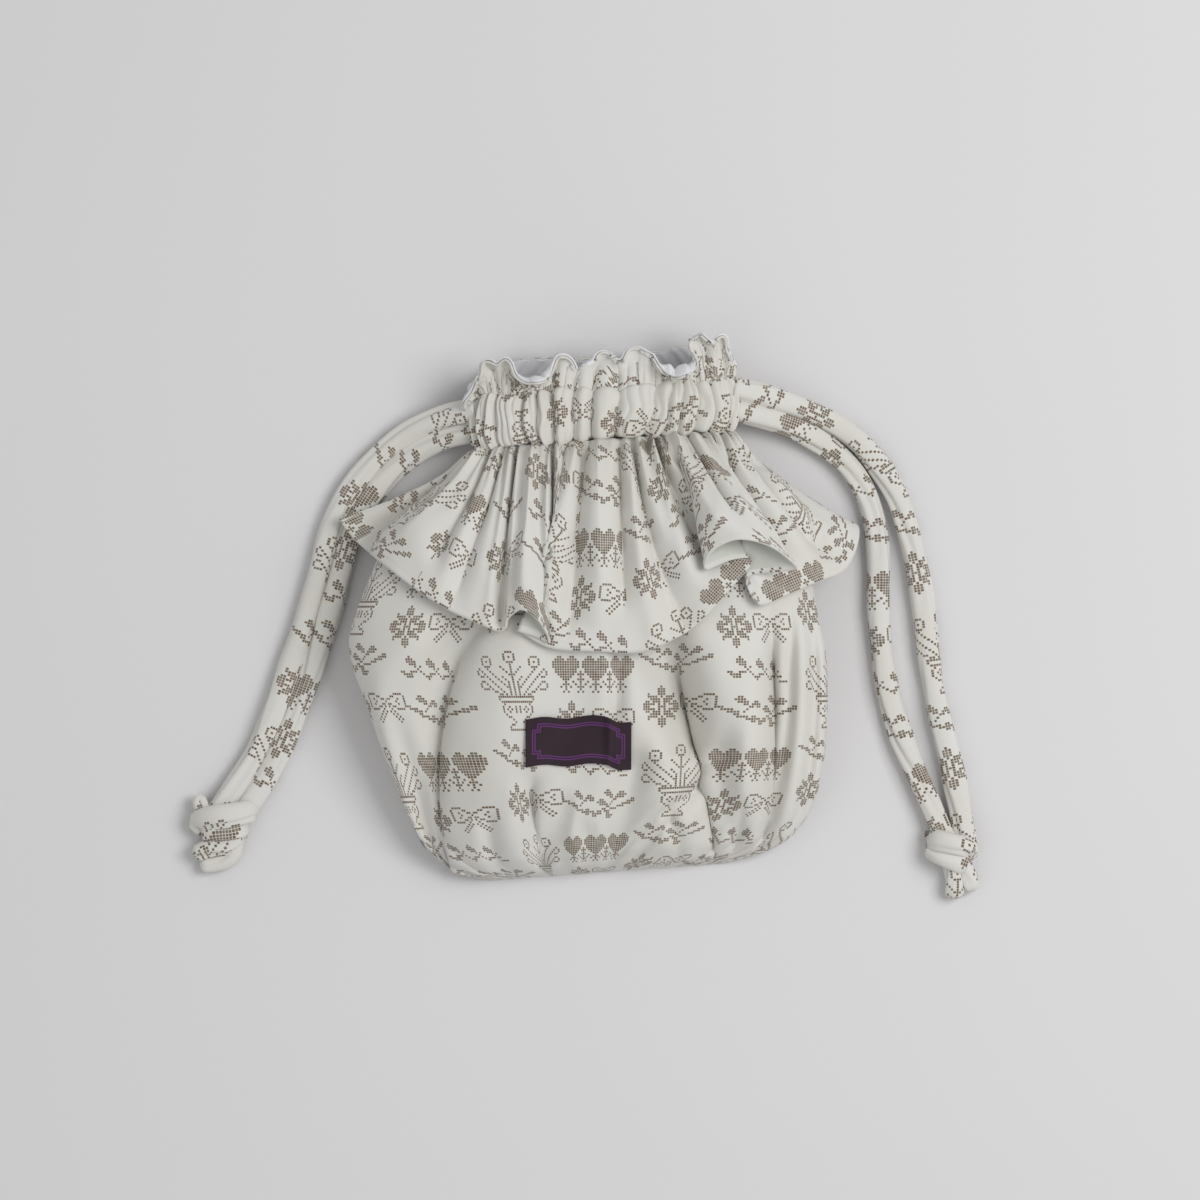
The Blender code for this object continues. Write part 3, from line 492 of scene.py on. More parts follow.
def fabric_tube(route, width, height, seed, twist=0.0, round_end=False):
    """A soft tube along a route: its rings, the flat cloth's places, and the ring centres.

    Its section is a flattened round with lengthwise creases that wander along it.
    """
    centres = smooth_curve(route, STRAND_STEP)
    along = np.gradient(centres, axis=0)
    along /= np.linalg.norm(along, axis=1, keepdims=True)
    up = np.array([0.0, 0.0, 1.0]) - along * along[:, 2:3]
    steep = np.linalg.norm(up, axis=1) < 0.2
    up[steep] = np.array([1.0, 0.0, 0.0])
    for index in range(1, len(up)):
        if up[index] @ up[index - 1] < 0:
            up[index] = -up[index]
    up /= np.linalg.norm(up, axis=1, keepdims=True)
    side = np.cross(along, up)
    reach = np.arange(len(centres)) * STRAND_STEP
    # the ring's last point repeats its first, so that the print doesn't run back over one strip
    angle = np.linspace(0.0, 2 * math.pi, STRAND_AROUND + 1)[None, :]
    turned = angle + (twist * reach / reach[-1] + 0.25 * np.sin(reach * 60 + seed))[:, None]
    swell = 1 + 0.045 * np.sin(reach * 95 + 2.1 * seed) + 0.03 * np.sin(reach * 230 + seed)
    half_width = (width / 2 * swell)[:, None]
    half_height = (height / 2 * (2 - swell))[:, None]
    across = np.sign(np.cos(angle)) * np.abs(np.cos(angle)) ** 0.9 * half_width
    rise = np.sign(np.sin(angle)) * np.abs(np.sin(angle)) ** 0.9 * half_height
    crease = np.zeros_like(turned)
    for fold in range(STRAND_CREASES):
        drift = 0.55 * np.sin(reach * (38 + 9 * fold) + seed + 1.9 * fold)
        middle = 2 * math.pi * (fold + 0.35) / STRAND_CREASES + drift
        off = (turned - middle[:, None] + math.pi) % (2 * math.pi) - math.pi
        depth = 0.13 + 0.09 * np.sin(reach * (51 + 13 * fold) + 2.3 * fold + seed)
        crease += depth[:, None] * np.exp(-np.abs(off / 0.24) ** 1.5)
        crease -= 0.35 * depth[:, None] * np.exp(-((np.abs(off) - 0.55) / 0.24) ** 2)
    shrink = 1 - crease
    if round_end:
        last = np.clip((reach[-1] - reach) / (0.5 * height), 0.0, 1.0)
        shrink = shrink * (0.35 + 0.65 * np.sqrt(1 - (1 - last) ** 2))[:, None]
    rings = centres[:, None, :] + side[:, None, :] * (across * shrink)[..., None]
    rings = rings + up[:, None, :] * (rise * shrink)[..., None]
    flat = np.zeros((*rings.shape[:2], 2))
    flat[..., 0] = angle * (width + height) / 4 + seed * 0.0173
    flat[..., 1] = reach[:, None] + seed * 0.0091
    return rings, flat, centres


def tube_object(name, tubes):
    """One mesh of one or more fabric tubes, each with its ends closed."""
    points, flats, faces, first = [], [], [], 0
    for rings, flat, _ in tubes:
        rows, around = rings.shape[:2]
        faces += grid_faces(rows, around, False, first).tolist()
        faces.append(list(range(first, first + around - 1))[::-1])
        faces.append(list(range(first + (rows - 1) * around, first + rows * around - 1)))
        points.append(rings.reshape(-1, 3))
        flats.append(flat.reshape(-1, 2))
        first += rows * around
    return cloth_object(name, np.concatenate(points) + DRAWING_ORIGIN, faces, np.concatenate(flats))


# The knots: each pair of strands is tied in one overhand knot. The tube wraps round the strands in
# two turns, a small bight stands out of the left one, and the two cut ends roll up below.
KnotEnd = namedtuple("KnotEnd", "name first second seed")
KNOT_ENDS = (
    KnotEnd("knot_left", "cord_left_upper", "cord_left_lower", 3.0),
    KnotEnd("knot_right", "cord_right_upper", "cord_right_lower", 7.0),
)
# Sizes and points in millimetres, from where the strands end: to the right, to the foot, up
KnotTube = namedtuple("KnotTube", "knot part width height twist round_end points")
KNOT_TUBES = (
    KnotTube("knot_left", "wrap", 9.4, 5.8, 0.6, False, (
        (3.0, 3.5, 4.2), (6.4, 2.2, 5.6), (5.6, 2.4, 9.4), (-0.5, 3.8, 11.8), (-7.0, 4.8, 11.8),
        (-13.0, 6.0, 9.0), (-15.2, 7.6, 5.2), (-9.5, 9.6, 4.2), (-1.0, 9.6, 4.2), (2.8, 9.6, 6.2),
        (-1.5, 10.8, 9.0), (-8.0, 11.4, 9.2), (-12.4, 12.2, 6.4),
    )),
    KnotTube("knot_left", "first tail", 8.0, 6.8, 1.5, True, (
        (-3.0, 10.0, 5.2), (0.0, 14.0, 6.0), (-4.0, 17.0, 7.0), (-10.0, 17.8, 6.6), (-17.6, 20.8, 4.8),
    )),
    KnotTube("knot_left", "second tail", 7.0, 6.0, -1.2, True, (
        (-2.0, 12.0, 4.6), (-0.4, 17.5, 4.8), (-3.0, 22.6, 4.4), (-8.5, 24.6, 4.2), (-15.0, 25.4, 4.2),
    )),
    KnotTube("knot_left", "bight", 3.6, 2.8, 0.5, False, (
        (-10.0, 6.5, 7.4), (-14.2, 3.0, 7.0), (-16.2, -0.8, 6.0), (-15.2, -3.2, 5.4), (-13.4, -1.0, 6.0),
        (-11.5, 5.0, 7.4),
    )),
    KnotTube("knot_right", "wrap", 9.0, 5.8, 0.6, False, (
        (-5.0, 3.5, 4.2), (-8.6, 3.8, 6.4), (-6.4, 4.4, 10.2), (-0.6, 5.6, 11.8), (4.2, 6.8, 10.4),
        (6.4, 8.4, 6.4), (3.4, 9.6, 4.2), (-4.0, 8.6, 4.2), (-8.4, 8.2, 5.8), (-5.6, 10.2, 9.0),
        (0.4, 12.6, 9.4), (4.6, 14.6, 7.0),
    )),
    KnotTube("knot_right", "first tail", 8.4, 7.2, 1.5, True, (
        (-1.0, 12.0, 5.0), (0.2, 17.0, 5.4), (0.6, 22.0, 4.9), (0.4, 29.0, 4.8),
    )),
    KnotTube("knot_right", "second tail", 7.4, 6.6, -1.2, True, (
        (2.5, 12.0, 5.4), (5.4, 17.0, 5.6), (6.8, 21.0, 4.8), (7.2, 26.0, 4.6),
    )),
)
END_IN_KNOT = 0.55
START_IN_CASING = 0.0050

strands = {}
knots = {}
for order, (strand_name, strand_route) in enumerate(STRAND_ROUTES.items()):
    lying = np.array(strand_route)
    inward = (lying[:1] - lying[1:2]) / np.linalg.norm(lying[0] - lying[1])
    last = lying[-1:] + END_IN_KNOT * (lying[-1:] - lying[-2:-1])
    lying = np.concatenate([lying[:1] + START_IN_CASING * inward, lying, last])
    strand_tube = fabric_tube(lying, STRAND_WIDTH, STRAND_HEIGHT, 1.7 * order, 0.9 - 0.5 * order)
    strand = tube_object(strand_name + "_tube", [strand_tube])
    strand.data.materials.append(printed_knit("strand_" + str(order + 1), (0.013 * order, 0.021 * order)))
    strands[strand_name] = (strand, strand_tube[2])

for end in KNOT_ENDS:
    start = (np.array(STRAND_ROUTES[end.first][-1]) + np.array(STRAND_ROUTES[end.second][-1])) / 2
    start[2] = 0.0
    knot_tubes = []
    for order, part in enumerate(row for row in KNOT_TUBES if row.knot == end.name):
        route = start + np.array(part.points) * (0.001, -0.001, 0.001)
        seed = end.seed + 1.3 * order
        knot_tubes.append(
            fabric_tube(route, part.width / 1000, part.height / 1000, seed, part.twist, part.round_end)
        )
    knot = tube_object(end.name + "_tied", knot_tubes)
    knot.data.materials.append(printed_knit(end.name + "_knit", (0.004 * end.seed, 0.007)))
    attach(knot, "root")
    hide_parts(end.name)
    knots[end.first] = knots[end.second] = knot

for strand_name, (strand, middle) in strands.items():
    path = middle + DRAWING_ORIGIN
    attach(strand, "root")
    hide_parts(strand_name)

# The pouch: two panels of the knit, gathered into the neck above and into the seam below. It is full
# and soft, lies on its back, and folds fall down its front from under the flounce.
BODY_WIDTH = 0.2016
BODY_LENGTH = 0.1825
BODY_HEIGHT = 0.046
BODY_WALL = 0.0014
BODY_SHIFT = -0.0050
NECK_WIDTH = 0.104
NECK_HEIGHT = 0.021
NECK_SHIFT = 0.0020
NECK_LIFT = 0.0053
BACK_LAYER = 0.0033
MOUTH_SLOPE = 0.073
SIDE_SHARE = 0.42
ROUNDNESS = 2.4
FLAT_BACK = 1.25
DROP_BESIDE = 1.5
BODY_AROUND = 360
BODY_ROWS = 150
OUTER_PER_INNER = 3
INNER_END = 0.93
FOLD_REACH = 6
PANEL_FULLNESS = 1.04
SEAM_GATHERS = 31
NECK_GATHERS = 26

# The pouch from neck to seam. neck: share of the neck's own width, height and lift that is left;
# left, right: shares of half BODY_WIDTH; height: share of BODY_HEIGHT; back: share of BACK_LAYER
Section = namedtuple("Section", "along neck left right height back")
SECTIONS = (
    Section(0.000, 1.00, 0.000, 0.000, 0.000, 0.0),
    Section(0.060, 0.75, 0.185, 0.175, 0.260, 0.3),
    Section(0.140, 0.45, 0.505, 0.520, 0.590, 0.6),
    Section(0.220, 0.20, 0.745, 0.775, 0.820, 0.9),
    Section(0.320, 0.05, 0.890, 0.905, 0.950, 1.0),
    Section(0.400, 0.00, 0.966, 0.958, 0.990, 1.0),
    Section(0.460, 0.00, 0.994, 0.984, 1.000, 0.9),
    Section(0.520, 0.00, 0.980, 0.996, 1.000, 0.5),
    Section(0.600, 0.00, 0.928, 1.000, 0.990, 0.0),
    Section(0.690, 0.00, 0.870, 0.994, 0.950, 0.0),
    Section(0.770, 0.00, 0.808, 0.980, 0.880, 0.0),
    Section(0.850, 0.00, 0.745, 0.950, 0.760, 0.0),
    Section(0.920, 0.00, 0.665, 0.890, 0.590, 0.0),
    Section(0.965, 0.00, 0.575, 0.800, 0.410, 0.0),
    Section(0.988, 0.00, 0.485, 0.690, 0.240, 0.0),
    Section(1.000, 0.00, 0.390, 0.570, 0.050, 0.0),
)

# Folds down the front. across: shares of half BODY_WIDTH at the fold's top, middle and foot; top,
# foot: shares of BODY_LENGTH; width: share of half BODY_WIDTH; depth: share of the height there; lean:
# how far the cloth to the right hangs over the fold; sharp: 1 for a soft valley, more for a crease.
BodyFold = namedtuple("BodyFold", "name upper middle lower top foot width depth lean sharp")
BODY_FOLDS = (
    BodyFold("left valley", -0.36, -0.60, -0.54, 0.30, 1.02, 0.130, 0.30, 0.60, 1.0),
    BodyFold("left valley's crease", -0.34, -0.555, -0.50, 0.36, 1.02, 0.034, 0.10, 0.80, 1.5),
    BodyFold("left shoulder", -0.68, -0.80, -0.66, 0.46, 0.96, 0.080, 0.09, 0.00, 1.0),
    BodyFold("left hem fold", -0.80, -0.70, -0.60, 0.60, 1.02, 0.045, 0.05, 0.20, 1.0),
    BodyFold("seam pucker", -0.23, -0.20, -0.15, 0.74, 1.02, 0.045, 0.20, 0.60, 1.4),
    BodyFold("beside the pucker", -0.10, -0.13, -0.20, 0.78, 1.02, 0.030, 0.12, -0.40, 1.2),
    BodyFold("centre crease", 0.12, 0.13, 0.12, 0.40, 0.62, 0.035, 0.08, 0.30, 1.0),
    BodyFold("middle dimple", 0.20, 0.32, 0.44, 0.36, 0.70, 0.120, 0.20, 0.20, 1.0),
    BodyFold("right tuck", 0.34, 0.47, 0.57, 0.38, 1.02, 0.095, 0.25, 0.50, 1.0),
    BodyFold("right tuck's crease", 0.38, 0.49, 0.57, 0.44, 1.02, 0.026, 0.09, 0.90, 1.5),
    BodyFold("beside the tuck", 0.62, 0.60, 0.70, 0.62, 1.02, 0.035, 0.09, -0.30, 1.2),
    BodyFold("middle gather", 0.24, 0.16, 0.10, 0.66, 1.02, 0.070, 0.14, 0.10, 1.0),
    BodyFold("slanting gather", 0.62, 0.36, 0.14, 0.72, 1.03, 0.045, 0.13, 0.50, 1.2),
    BodyFold("second slanting gather", 0.44, 0.22, 0.04, 0.80, 1.03, 0.030, 0.10, 0.40, 1.2),
    BodyFold("small gather", 0.34, 0.38, 0.36, 0.84, 1.03, 0.025, 0.11, 0.20, 1.2),
    BodyFold("right side fold", 0.74, 0.79, 0.72, 0.34, 1.00, 0.055, 0.18, 0.40, 1.2),
    BodyFold("right side crease", 0.76, 0.80, 0.74, 0.40, 1.00, 0.022, 0.06, 0.60, 1.4),
    BodyFold("narrow side fold", 0.84, 0.86, 0.79, 0.36, 0.92, 0.024, 0.10, 0.20, 1.1),
    BodyFold("outer side fold", 0.92, 0.94, 0.86, 0.34, 0.98, 0.030, 0.14, 0.00, 1.0),
    BodyFold("foot gather", -0.38, -0.36, -0.30, 0.82, 1.03, 0.030, 0.11, 0.30, 1.2),
    BodyFold("foot gather", -0.02, 0.00, -0.02, 0.86, 1.03, 0.028, 0.10, -0.20, 1.2),
    BodyFold("foot gather", 0.66, 0.66, 0.62, 0.82, 1.03, 0.026, 0.11, 0.20, 1.2),
)
FOLD_PUSH = 0.15


def read(table, key, name, at):
    """The values of the column name where the column key has the values at, on a smooth curve."""
    keys = np.array([getattr(row, key) for row in table], dtype=float)
    values = np.array([getattr(row, name) for row in table], dtype=float)
    slopes = np.gradient(values, keys)
    at = np.clip(at, keys[0], keys[-1])
    low = np.clip(np.searchsorted(keys, at, side="right") - 1, 0, len(keys) - 2)
    step = keys[low + 1] - keys[low]
    share = (at - keys[low]) / step
    near = (2 * share**3 - 3 * share**2 + 1) * values[low]
    near = near + (share**3 - 2 * share**2 + share) * step * slopes[low]
    far = (3 * share**2 - 2 * share**3) * values[low + 1]
    far = far + (share**3 - share**2) * step * slopes[low + 1]
    return near + far


def smoothstep(value, low, high):
    """0 at low, 1 at high, with soft ends; low may be the larger."""
    share = np.clip((value - low) / (high - low), 0.0, 1.0)
    return share * share * (3 - 2 * share)


def softer_max(first, second, blend):
    """The larger of two heights, with the corner between them rounded over blend."""
    return 0.5 * (first + second + np.sqrt((first - second) ** 2 + blend**2))


def ring(turn, left, right, low, high, spread=0.0):
    """A flattened ring: 0 at its left side, 0.25 in front, 0.5 at its right side, 0.75 behind."""
    cosine = -np.cos(2 * math.pi * turn)
    sine = np.sin(2 * math.pi * turn)
    across = np.sign(cosine) * np.abs(cosine) ** (2 / ROUNDNESS)
    rise = np.sign(sine) * np.abs(sine) ** (2 / ROUNDNESS)
    side = low + SIDE_SHARE * (high - low)
    x = np.where(across < 0, left + spread, right + spread) * across
    front = side + rise * (high + spread - side)
    back = side + rise * (side - low + spread) * FLAT_BACK
    return x, np.where(rise > 0, front, np.maximum(back, low - spread))


def pleat_count(turn, count, seed, drift=1.0):
    """How many uneven pleats lie before a turn round a ring."""
    wander = 0.34 * np.sin(2 * math.pi * (3 * turn + 0.13 * seed))
    wander = wander + 0.22 * np.sin(2 * math.pi * (7 * turn + 0.29 * seed))
    wander = wander + 0.15 * np.sin(2 * math.pi * (13 * turn + 0.41 * seed))
    return count * turn + 2 * drift * wander / math.pi


def gathers(turn, count, seed, drift=1.0):
    """Uneven pleats round a ring: rounded ridges of 1 with sharp valleys of 0 between them."""
    return np.abs(np.sin(math.pi * pleat_count(turn, count, seed, drift))) ** 0.7


def rough(points, scale, seed):
    """Smooth noise from -1 to 1 at each point, with scale the waves to a metre along x, y and z."""
    flat = points.reshape(-1, 3) * np.array(scale) + seed
    values = [noise.noise(Vector(place)) for place in flat]
    return np.array(values).reshape(points.shape[:-1])


def slope_share(along):
    """How much of the mouth's slope the pouch has: all at its neck and at its bottom seam."""
    return 1 - smoothstep(along, 0.0, 0.4) + smoothstep(along, 0.6, 1.0)


def body_reach(along):
    """The pouch's middle, left and right reach, back and front heights at shares of its length."""
    neck = read(SECTIONS, "along", "neck", along)
    half = BODY_WIDTH / 2
    left = neck * NECK_WIDTH / 2 + read(SECTIONS, "along", "left", along) * half
    right = neck * NECK_WIDTH / 2 + read(SECTIONS, "along", "right", along) * half
    low = neck * NECK_LIFT + read(SECTIONS, "along", "back", along) * BACK_LAYER
    high = low + neck * NECK_HEIGHT + read(SECTIONS, "along", "height", along) * BODY_HEIGHT
    return BODY_SHIFT + (NECK_SHIFT - BODY_SHIFT) * neck, left, right, low, high


def body_folds(across, along):
    """How deep the front is folded in, and how far its cloth is pushed to the left."""
    depth = np.zeros_like(across)
    push = np.zeros_like(across)
    for fold in BODY_FOLDS:
        share = (along - fold.top) / (fold.foot - fold.top)
        place = fold.upper * (1 - share) * (1 - 2 * share) + 4 * fold.middle * share * (1 - share)
        place += fold.lower * share * (2 * share - 1)
        present = smoothstep(share, 0.0, 0.3) * (1 - smoothstep(share, 1.0, 1.15))
        side = (across - place) / fold.width
        depth += present * fold.depth * np.exp(-(np.abs(side) ** (2 / fold.sharp)))
        depth -= present * fold.depth * 0.22 * np.exp(-((np.abs(side) - 1.9) ** 2))
        push += present * fold.lean * fold.depth * np.exp(-((side - 0.9) ** 2))
    return depth, push


def body_surface(turn, along, inset, fine):
    """Points of the pouch's wall, inset from its outside; fine is 1 with its small folds."""
    middle, left, right, low, high = body_reach(along)
    x, z = ring(turn, left, right, low, high, -inset)
    front = smoothstep(np.sin(2 * math.pi * turn), 0.05, 0.5)
    depth, push = body_folds(x / (BODY_WIDTH / 2), along)
    z = z - front * (high - low) * depth
    x = x - front * push * BODY_WIDTH * FOLD_PUSH
    seam = smoothstep(along, 0.80, 0.99)
    around = smoothstep(np.sin(2 * math.pi * turn), -0.6, 0.1)
    z = z + fine * around * seam * 0.0022 * (gathers(turn, SEAM_GATHERS, 1) - 0.55)
    near_neck = 1 - smoothstep(along, 0.02, 0.30)
    z = z + fine * front * near_neck * 0.0020 * (gathers(turn, NECK_GATHERS, 5) - 0.6)
    y = -along * BODY_LENGTH + MOUTH_SLOPE * x * slope_share(along)
    points = np.stack([x + middle, y, np.maximum(z, inset)], axis=-1)
    if fine:
        free = around * smoothstep(points[..., 2], 0.001, 0.012)
        points[..., 2] += free * 0.0011 * rough(points, (30.0, 15.0, 15.0), 3.1)
        points[..., 2] += free * 0.00045 * rough(points, (95.0, 40.0, 40.0), 8.7)
    return points


def ring_heights(x, middle, left, right, low, high, spread):
    """A flattened ring's front and back heights over a point on the ground, with the ring spread out."""
    reach = np.where(x < middle, left, right) + spread
    across = np.abs(x - middle) / reach
    side = low + SIDE_SHARE * (high - low)
    rise = np.clip(1 - across**ROUNDNESS, 0.0, 1.0) ** (1 / ROUNDNESS)
    drop = np.clip(across - 1, 0.0, None) * reach * DROP_BESIDE
    back = np.maximum(side - rise * (side - low + spread) * FLAT_BACK, low - spread)
    return side + rise * (high + spread - side) - drop, back + drop


def body_heights(x, y, spread, slope_rounds):
    """The pouch's front and back heights; slope_rounds: how often its place under the slope is found."""
    along = -y / BODY_LENGTH
    for _ in range(slope_rounds):
        along = (MOUTH_SLOPE * (x - BODY_SHIFT) * slope_share(along) - y) / BODY_LENGTH
    return ring_heights(x, *body_reach(np.clip(along, 0.0, 1.0)), spread)


def outward_normals(grid):
    """Unit normals of a ring of rows, away from the hollow."""
    around = np.roll(grid, -1, axis=1) - np.roll(grid, 1, axis=1)
    normal = np.cross(around, np.gradient(grid, axis=0))
    return normal / np.maximum(np.linalg.norm(normal, axis=-1, keepdims=True), 1e-12)


def seam_faces(around, first, flip):
    """Faces that zip a flattened ring shut, front to back."""
    faces = []
    for step in range(around // 2):
        opposite = [first + (around - step - ahead) % around for ahead in (1, 0)]
        corners = list(dict.fromkeys([first + step, first + step + 1, *opposite]))
        faces.append(corners[::-1] if flip else corners)
    return faces


def plain_cotton(name, colour):
    """Plain white woven cotton, the lining and the knit's unprinted side."""
    material, tree = new_material(name)
    darker = tuple(0.88 * value for value in colour)
    tone = blend_colours(tree, noise_at(tree, 40.0, 3.0).between(0.3, 0.7), darker, colour)
    finish(tree, tone, 0.9, 0.25, noise_at(tree, 1400.0, 1.0), 0.25)
    return material


LINING_WHITE = (0.78, 0.78, 0.80)
KNIT_REVERSE = (0.640, 0.655, 0.600)

body_turn = np.arange(BODY_AROUND) / BODY_AROUND
body_along = 1 - (1 - np.linspace(0.0, 1.0, BODY_ROWS)) ** 1.25
outer = body_surface(*np.meshgrid(body_turn, body_along), 0.0, 1.0)
# the inside follows every second row and every third point, up to a little above the seam
inner_rows = np.flatnonzero(body_along < INNER_END)[::2]
inner = outer + outward_normals(outer) * BODY_WALL
# in a sharp fold the inside stays below the fold's floor
floor_z = outer[..., 2]
for step in range(-FOLD_REACH, FOLD_REACH + 1):
    nearby = outer[np.clip(np.arange(BODY_ROWS) + step // 2, 0, BODY_ROWS - 1), :, 2]
    floor_z = np.minimum(floor_z, np.roll(nearby, step, axis=1))
in_front = (np.sin(2 * math.pi * body_turn) > 0.25)[None, :]
inner[..., 2] = np.where(in_front, np.minimum(inner[..., 2], floor_z - BODY_WALL / 2), inner[..., 2])
inner = inner[inner_rows, ::OUTER_PER_INNER]
inner[..., 2] = np.maximum(inner[..., 2], BODY_WALL)
INNER_ROWS, INNER_AROUND = inner.shape[:2]
widest = body_surface(np.append(body_turn, 1.0), np.full(BODY_AROUND + 1, 0.45), 0.0, 0.0)
girth = distances(widest) * PANEL_FULLNESS
# down the cloth is the way down the middle of the front, so the print isn't drawn out at the steep foot
down_front = body_surface(np.full(BODY_ROWS, 0.25), body_along, 0.0, 0.0)
down = distances(down_front) * PANEL_FULLNESS
outer_flat = np.stack(np.broadcast_arrays(girth[None, :-1], down[:, None]), axis=-1)
outer_count = BODY_ROWS * BODY_AROUND
faces = grid_faces(BODY_ROWS, BODY_AROUND, True, 0, True).tolist()
faces += seam_faces(BODY_AROUND, outer_count - BODY_AROUND, True)
outer_faces = len(faces)
faces += grid_faces(INNER_ROWS, INNER_AROUND, True, outer_count).tolist()
faces += seam_faces(INNER_AROUND, outer_count + (INNER_ROWS - 1) * INNER_AROUND, False)
for step in range(INNER_AROUND):
    edge = [(step * OUTER_PER_INNER + part) % BODY_AROUND for part in range(OUTER_PER_INNER + 1)]
    faces.append([*edge, outer_count + (step + 1) % INNER_AROUND, outer_count + step][::-1])
points = np.concatenate([outer.reshape(-1, 3), inner.reshape(-1, 3)]) + DRAWING_ORIGIN
flats = np.concatenate([outer_flat.reshape(-1, 2), np.zeros((INNER_ROWS * INNER_AROUND, 2))])
pouch = cloth_object("pouch", points, faces, flats)
pouch.data.materials.append(printed_knit("pouch_knit", (0.012, 0.030)))
pouch.data.materials.append(plain_cotton("pouch_inside", LINING_WHITE))
for face in pouch.data.polygons[outer_faces:]:
    face.material_index = 1
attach(pouch, "root")
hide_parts("bag_body")

# The casing: a channel of the knit between two rows of stitching, with the drawstrings inside it.
# Drawn up, it stands in narrow uneven ridges with deep creases between them, pinched at both seams.
CASING_LENGTH = 0.0215
CASING_BULGE = 0.0028
CASING_WALL = 0.0014
SEAM_LAYER = 0.0012
CASING_AROUND = 960
CASING_ROWS = 34
CASING_INNER_ROWS = 5
CASING_RIDGES = 37
CASING_DRIFT = 1.7
CASING_SMALL_RIDGES = 83
RIDGE_HEIGHT = 0.0041
SMALL_RIDGE_HEIGHT = 0.0011
SEAM_BOW = 0.0026
SEAM_WAVER = 0.0008
PIECE_GAP = 0.0003
HIDDEN_CLOTH = 1.12
# Round the middle of the front the ring runs fast from side to side, so its ridges lean less there
CENTRE_STEADY = 0.75
CENTRE_REACH = 0.045


def ridge_turn(turn, share):
    """The turn that a point of the casing had before its ridges leaned and wavered."""
    lean = 0.012 * np.sin(2 * math.pi * 2 * turn + 0.8) + 0.008 * np.sin(2 * math.pi * 5 * turn + 2.0)
    steady = 1 - CENTRE_STEADY * np.exp(-(((turn - 0.25) / CENTRE_REACH) ** 2))
    waver = 0.0022 * np.sin(7 * share + 2 * math.pi * 11 * turn)
    return turn + steady * ((share - 0.5) * lean + waver)


def casing_surface(turn, share, inset):
    """Points of the casing's wall: its bulge with the gathers across it, or its even inside."""
    pinch = np.sin(math.pi * np.clip(share, 0.0, 1.0)) ** 0.6
    bulge = CASING_BULGE * pinch + SEAM_LAYER
    leaning = ridge_turn(turn, share)
    if inset:
        spread = bulge - RIDGE_HEIGHT * 0.55 - inset
    else:
        uneven = 1 + 0.30 * np.sin(2 * math.pi * 6 * turn + 1.0) * np.sin(2 * math.pi * 11 * turn)
        ridges = gathers(leaning, CASING_RIDGES, 2, CASING_DRIFT) ** 0.9 - 0.66
        small = gathers(leaning + 0.002 * np.sin(9 * share), CASING_SMALL_RIDGES, 6) - 0.6
        spread = bulge + (0.55 + 0.45 * pinch) * (RIDGE_HEIGHT * uneven * ridges + SMALL_RIDGE_HEIGHT * small)
    half = NECK_WIDTH / 2
    x, z = ring(turn, half, half, NECK_LIFT, NECK_LIFT + NECK_HEIGHT, spread)
    y = PIECE_GAP + share * CASING_LENGTH + MOUTH_SLOPE * x
    bow = SEAM_BOW * (gathers(leaning, CASING_RIDGES, 2, CASING_DRIFT) - 0.6)
    waver = SEAM_WAVER * np.sin(2 * math.pi * 8 * turn + 3 * share + 1.0)
    y = y + (0 if inset else 1) * (bow * (2 * share - 1) + waver)
    points = np.stack([x + NECK_SHIFT, y, z], axis=-1)
    if not inset:
        points[..., 2] += 0.0007 * rough(points, (160.0, 90.0, 90.0), 5.5)
    points[..., 2] = np.maximum(points[..., 2], PIECE_GAP)
    return points


def pleat_bounds(count_at, turns):
    """The turns where one pleat ends and the next begins, from 0 to 1, for each row of pleat counts."""
    bounds = []
    for counts in count_at:
        inner = np.arange(math.ceil(count_at[:, 0].max()) + 1, math.floor(count_at[:, -1].min()))
        bounds.append([0.0, *np.interp(inner, np.maximum.accumulate(counts), turns), 1.0])
    return np.array(bounds).T


def panel_places(grid, turns, bounds, down):
    """Each quad's corners on the flat cloth, true to size across each panel.

    bounds holds the turns of the creases that part the panels, a row for each crease and a column for
    each row of the grid. The cloth that a crease hides is left out, so the print breaks off there.
    """
    steps = np.linalg.norm(np.roll(grid, -1, axis=1) - grid, axis=-1)
    reach = np.concatenate([np.zeros((len(grid), 1)), np.cumsum(steps, axis=1)], axis=1)
    closed = np.append(turns, turns[0] + 1)
    at_bounds = np.array([
        [np.interp(turn, closed, reach[row]) for row, turn in enumerate(line)] for line in bounds
    ])
    centre = (at_bounds[:-1] + at_bounds[1:]) / 2
    widths = (at_bounds[1:] - at_bounds[:-1]).max(axis=1) * HIDDEN_CLOTH
    start = np.cumsum(widths) - widths / 2
    row_bounds = (bounds[1:-1, :-1] + bounds[1:-1, 1:]) / 2
    middle = (closed[:-1] + closed[1:]) / 2
    panel = (middle[None, :, None] > row_bounds.T[:, None, :]).sum(axis=-1)
    row = np.arange(len(grid) - 1)[:, None]
    step = np.arange(grid.shape[1])[None, :]
    after = np.roll(down, -1, axis=1)
    corners = [
        (start[panel] + reach[row, step] - centre[panel, row], down[:-1]),
        (start[panel] + reach[row, step + 1] - centre[panel, row], after[:-1]),
        (start[panel] + reach[row + 1, step + 1] - centre[panel, row + 1], after[1:]),
        (start[panel] + reach[row + 1, step] - centre[panel, row + 1], down[1:]),
    ]
    return np.stack([np.stack(corner, axis=-1) for corner in corners], axis=2).reshape(-1, 4, 2)


def ring_area(rows):
    """The area of a cloth that is closed into a ring, from its rows of points."""
    beside = np.roll(rows, -1, axis=1)
    return float(np.linalg.norm(np.cross(beside[1:] - rows[:-1], rows[1:] - beside[:-1]), axis=-1).sum() / 2)


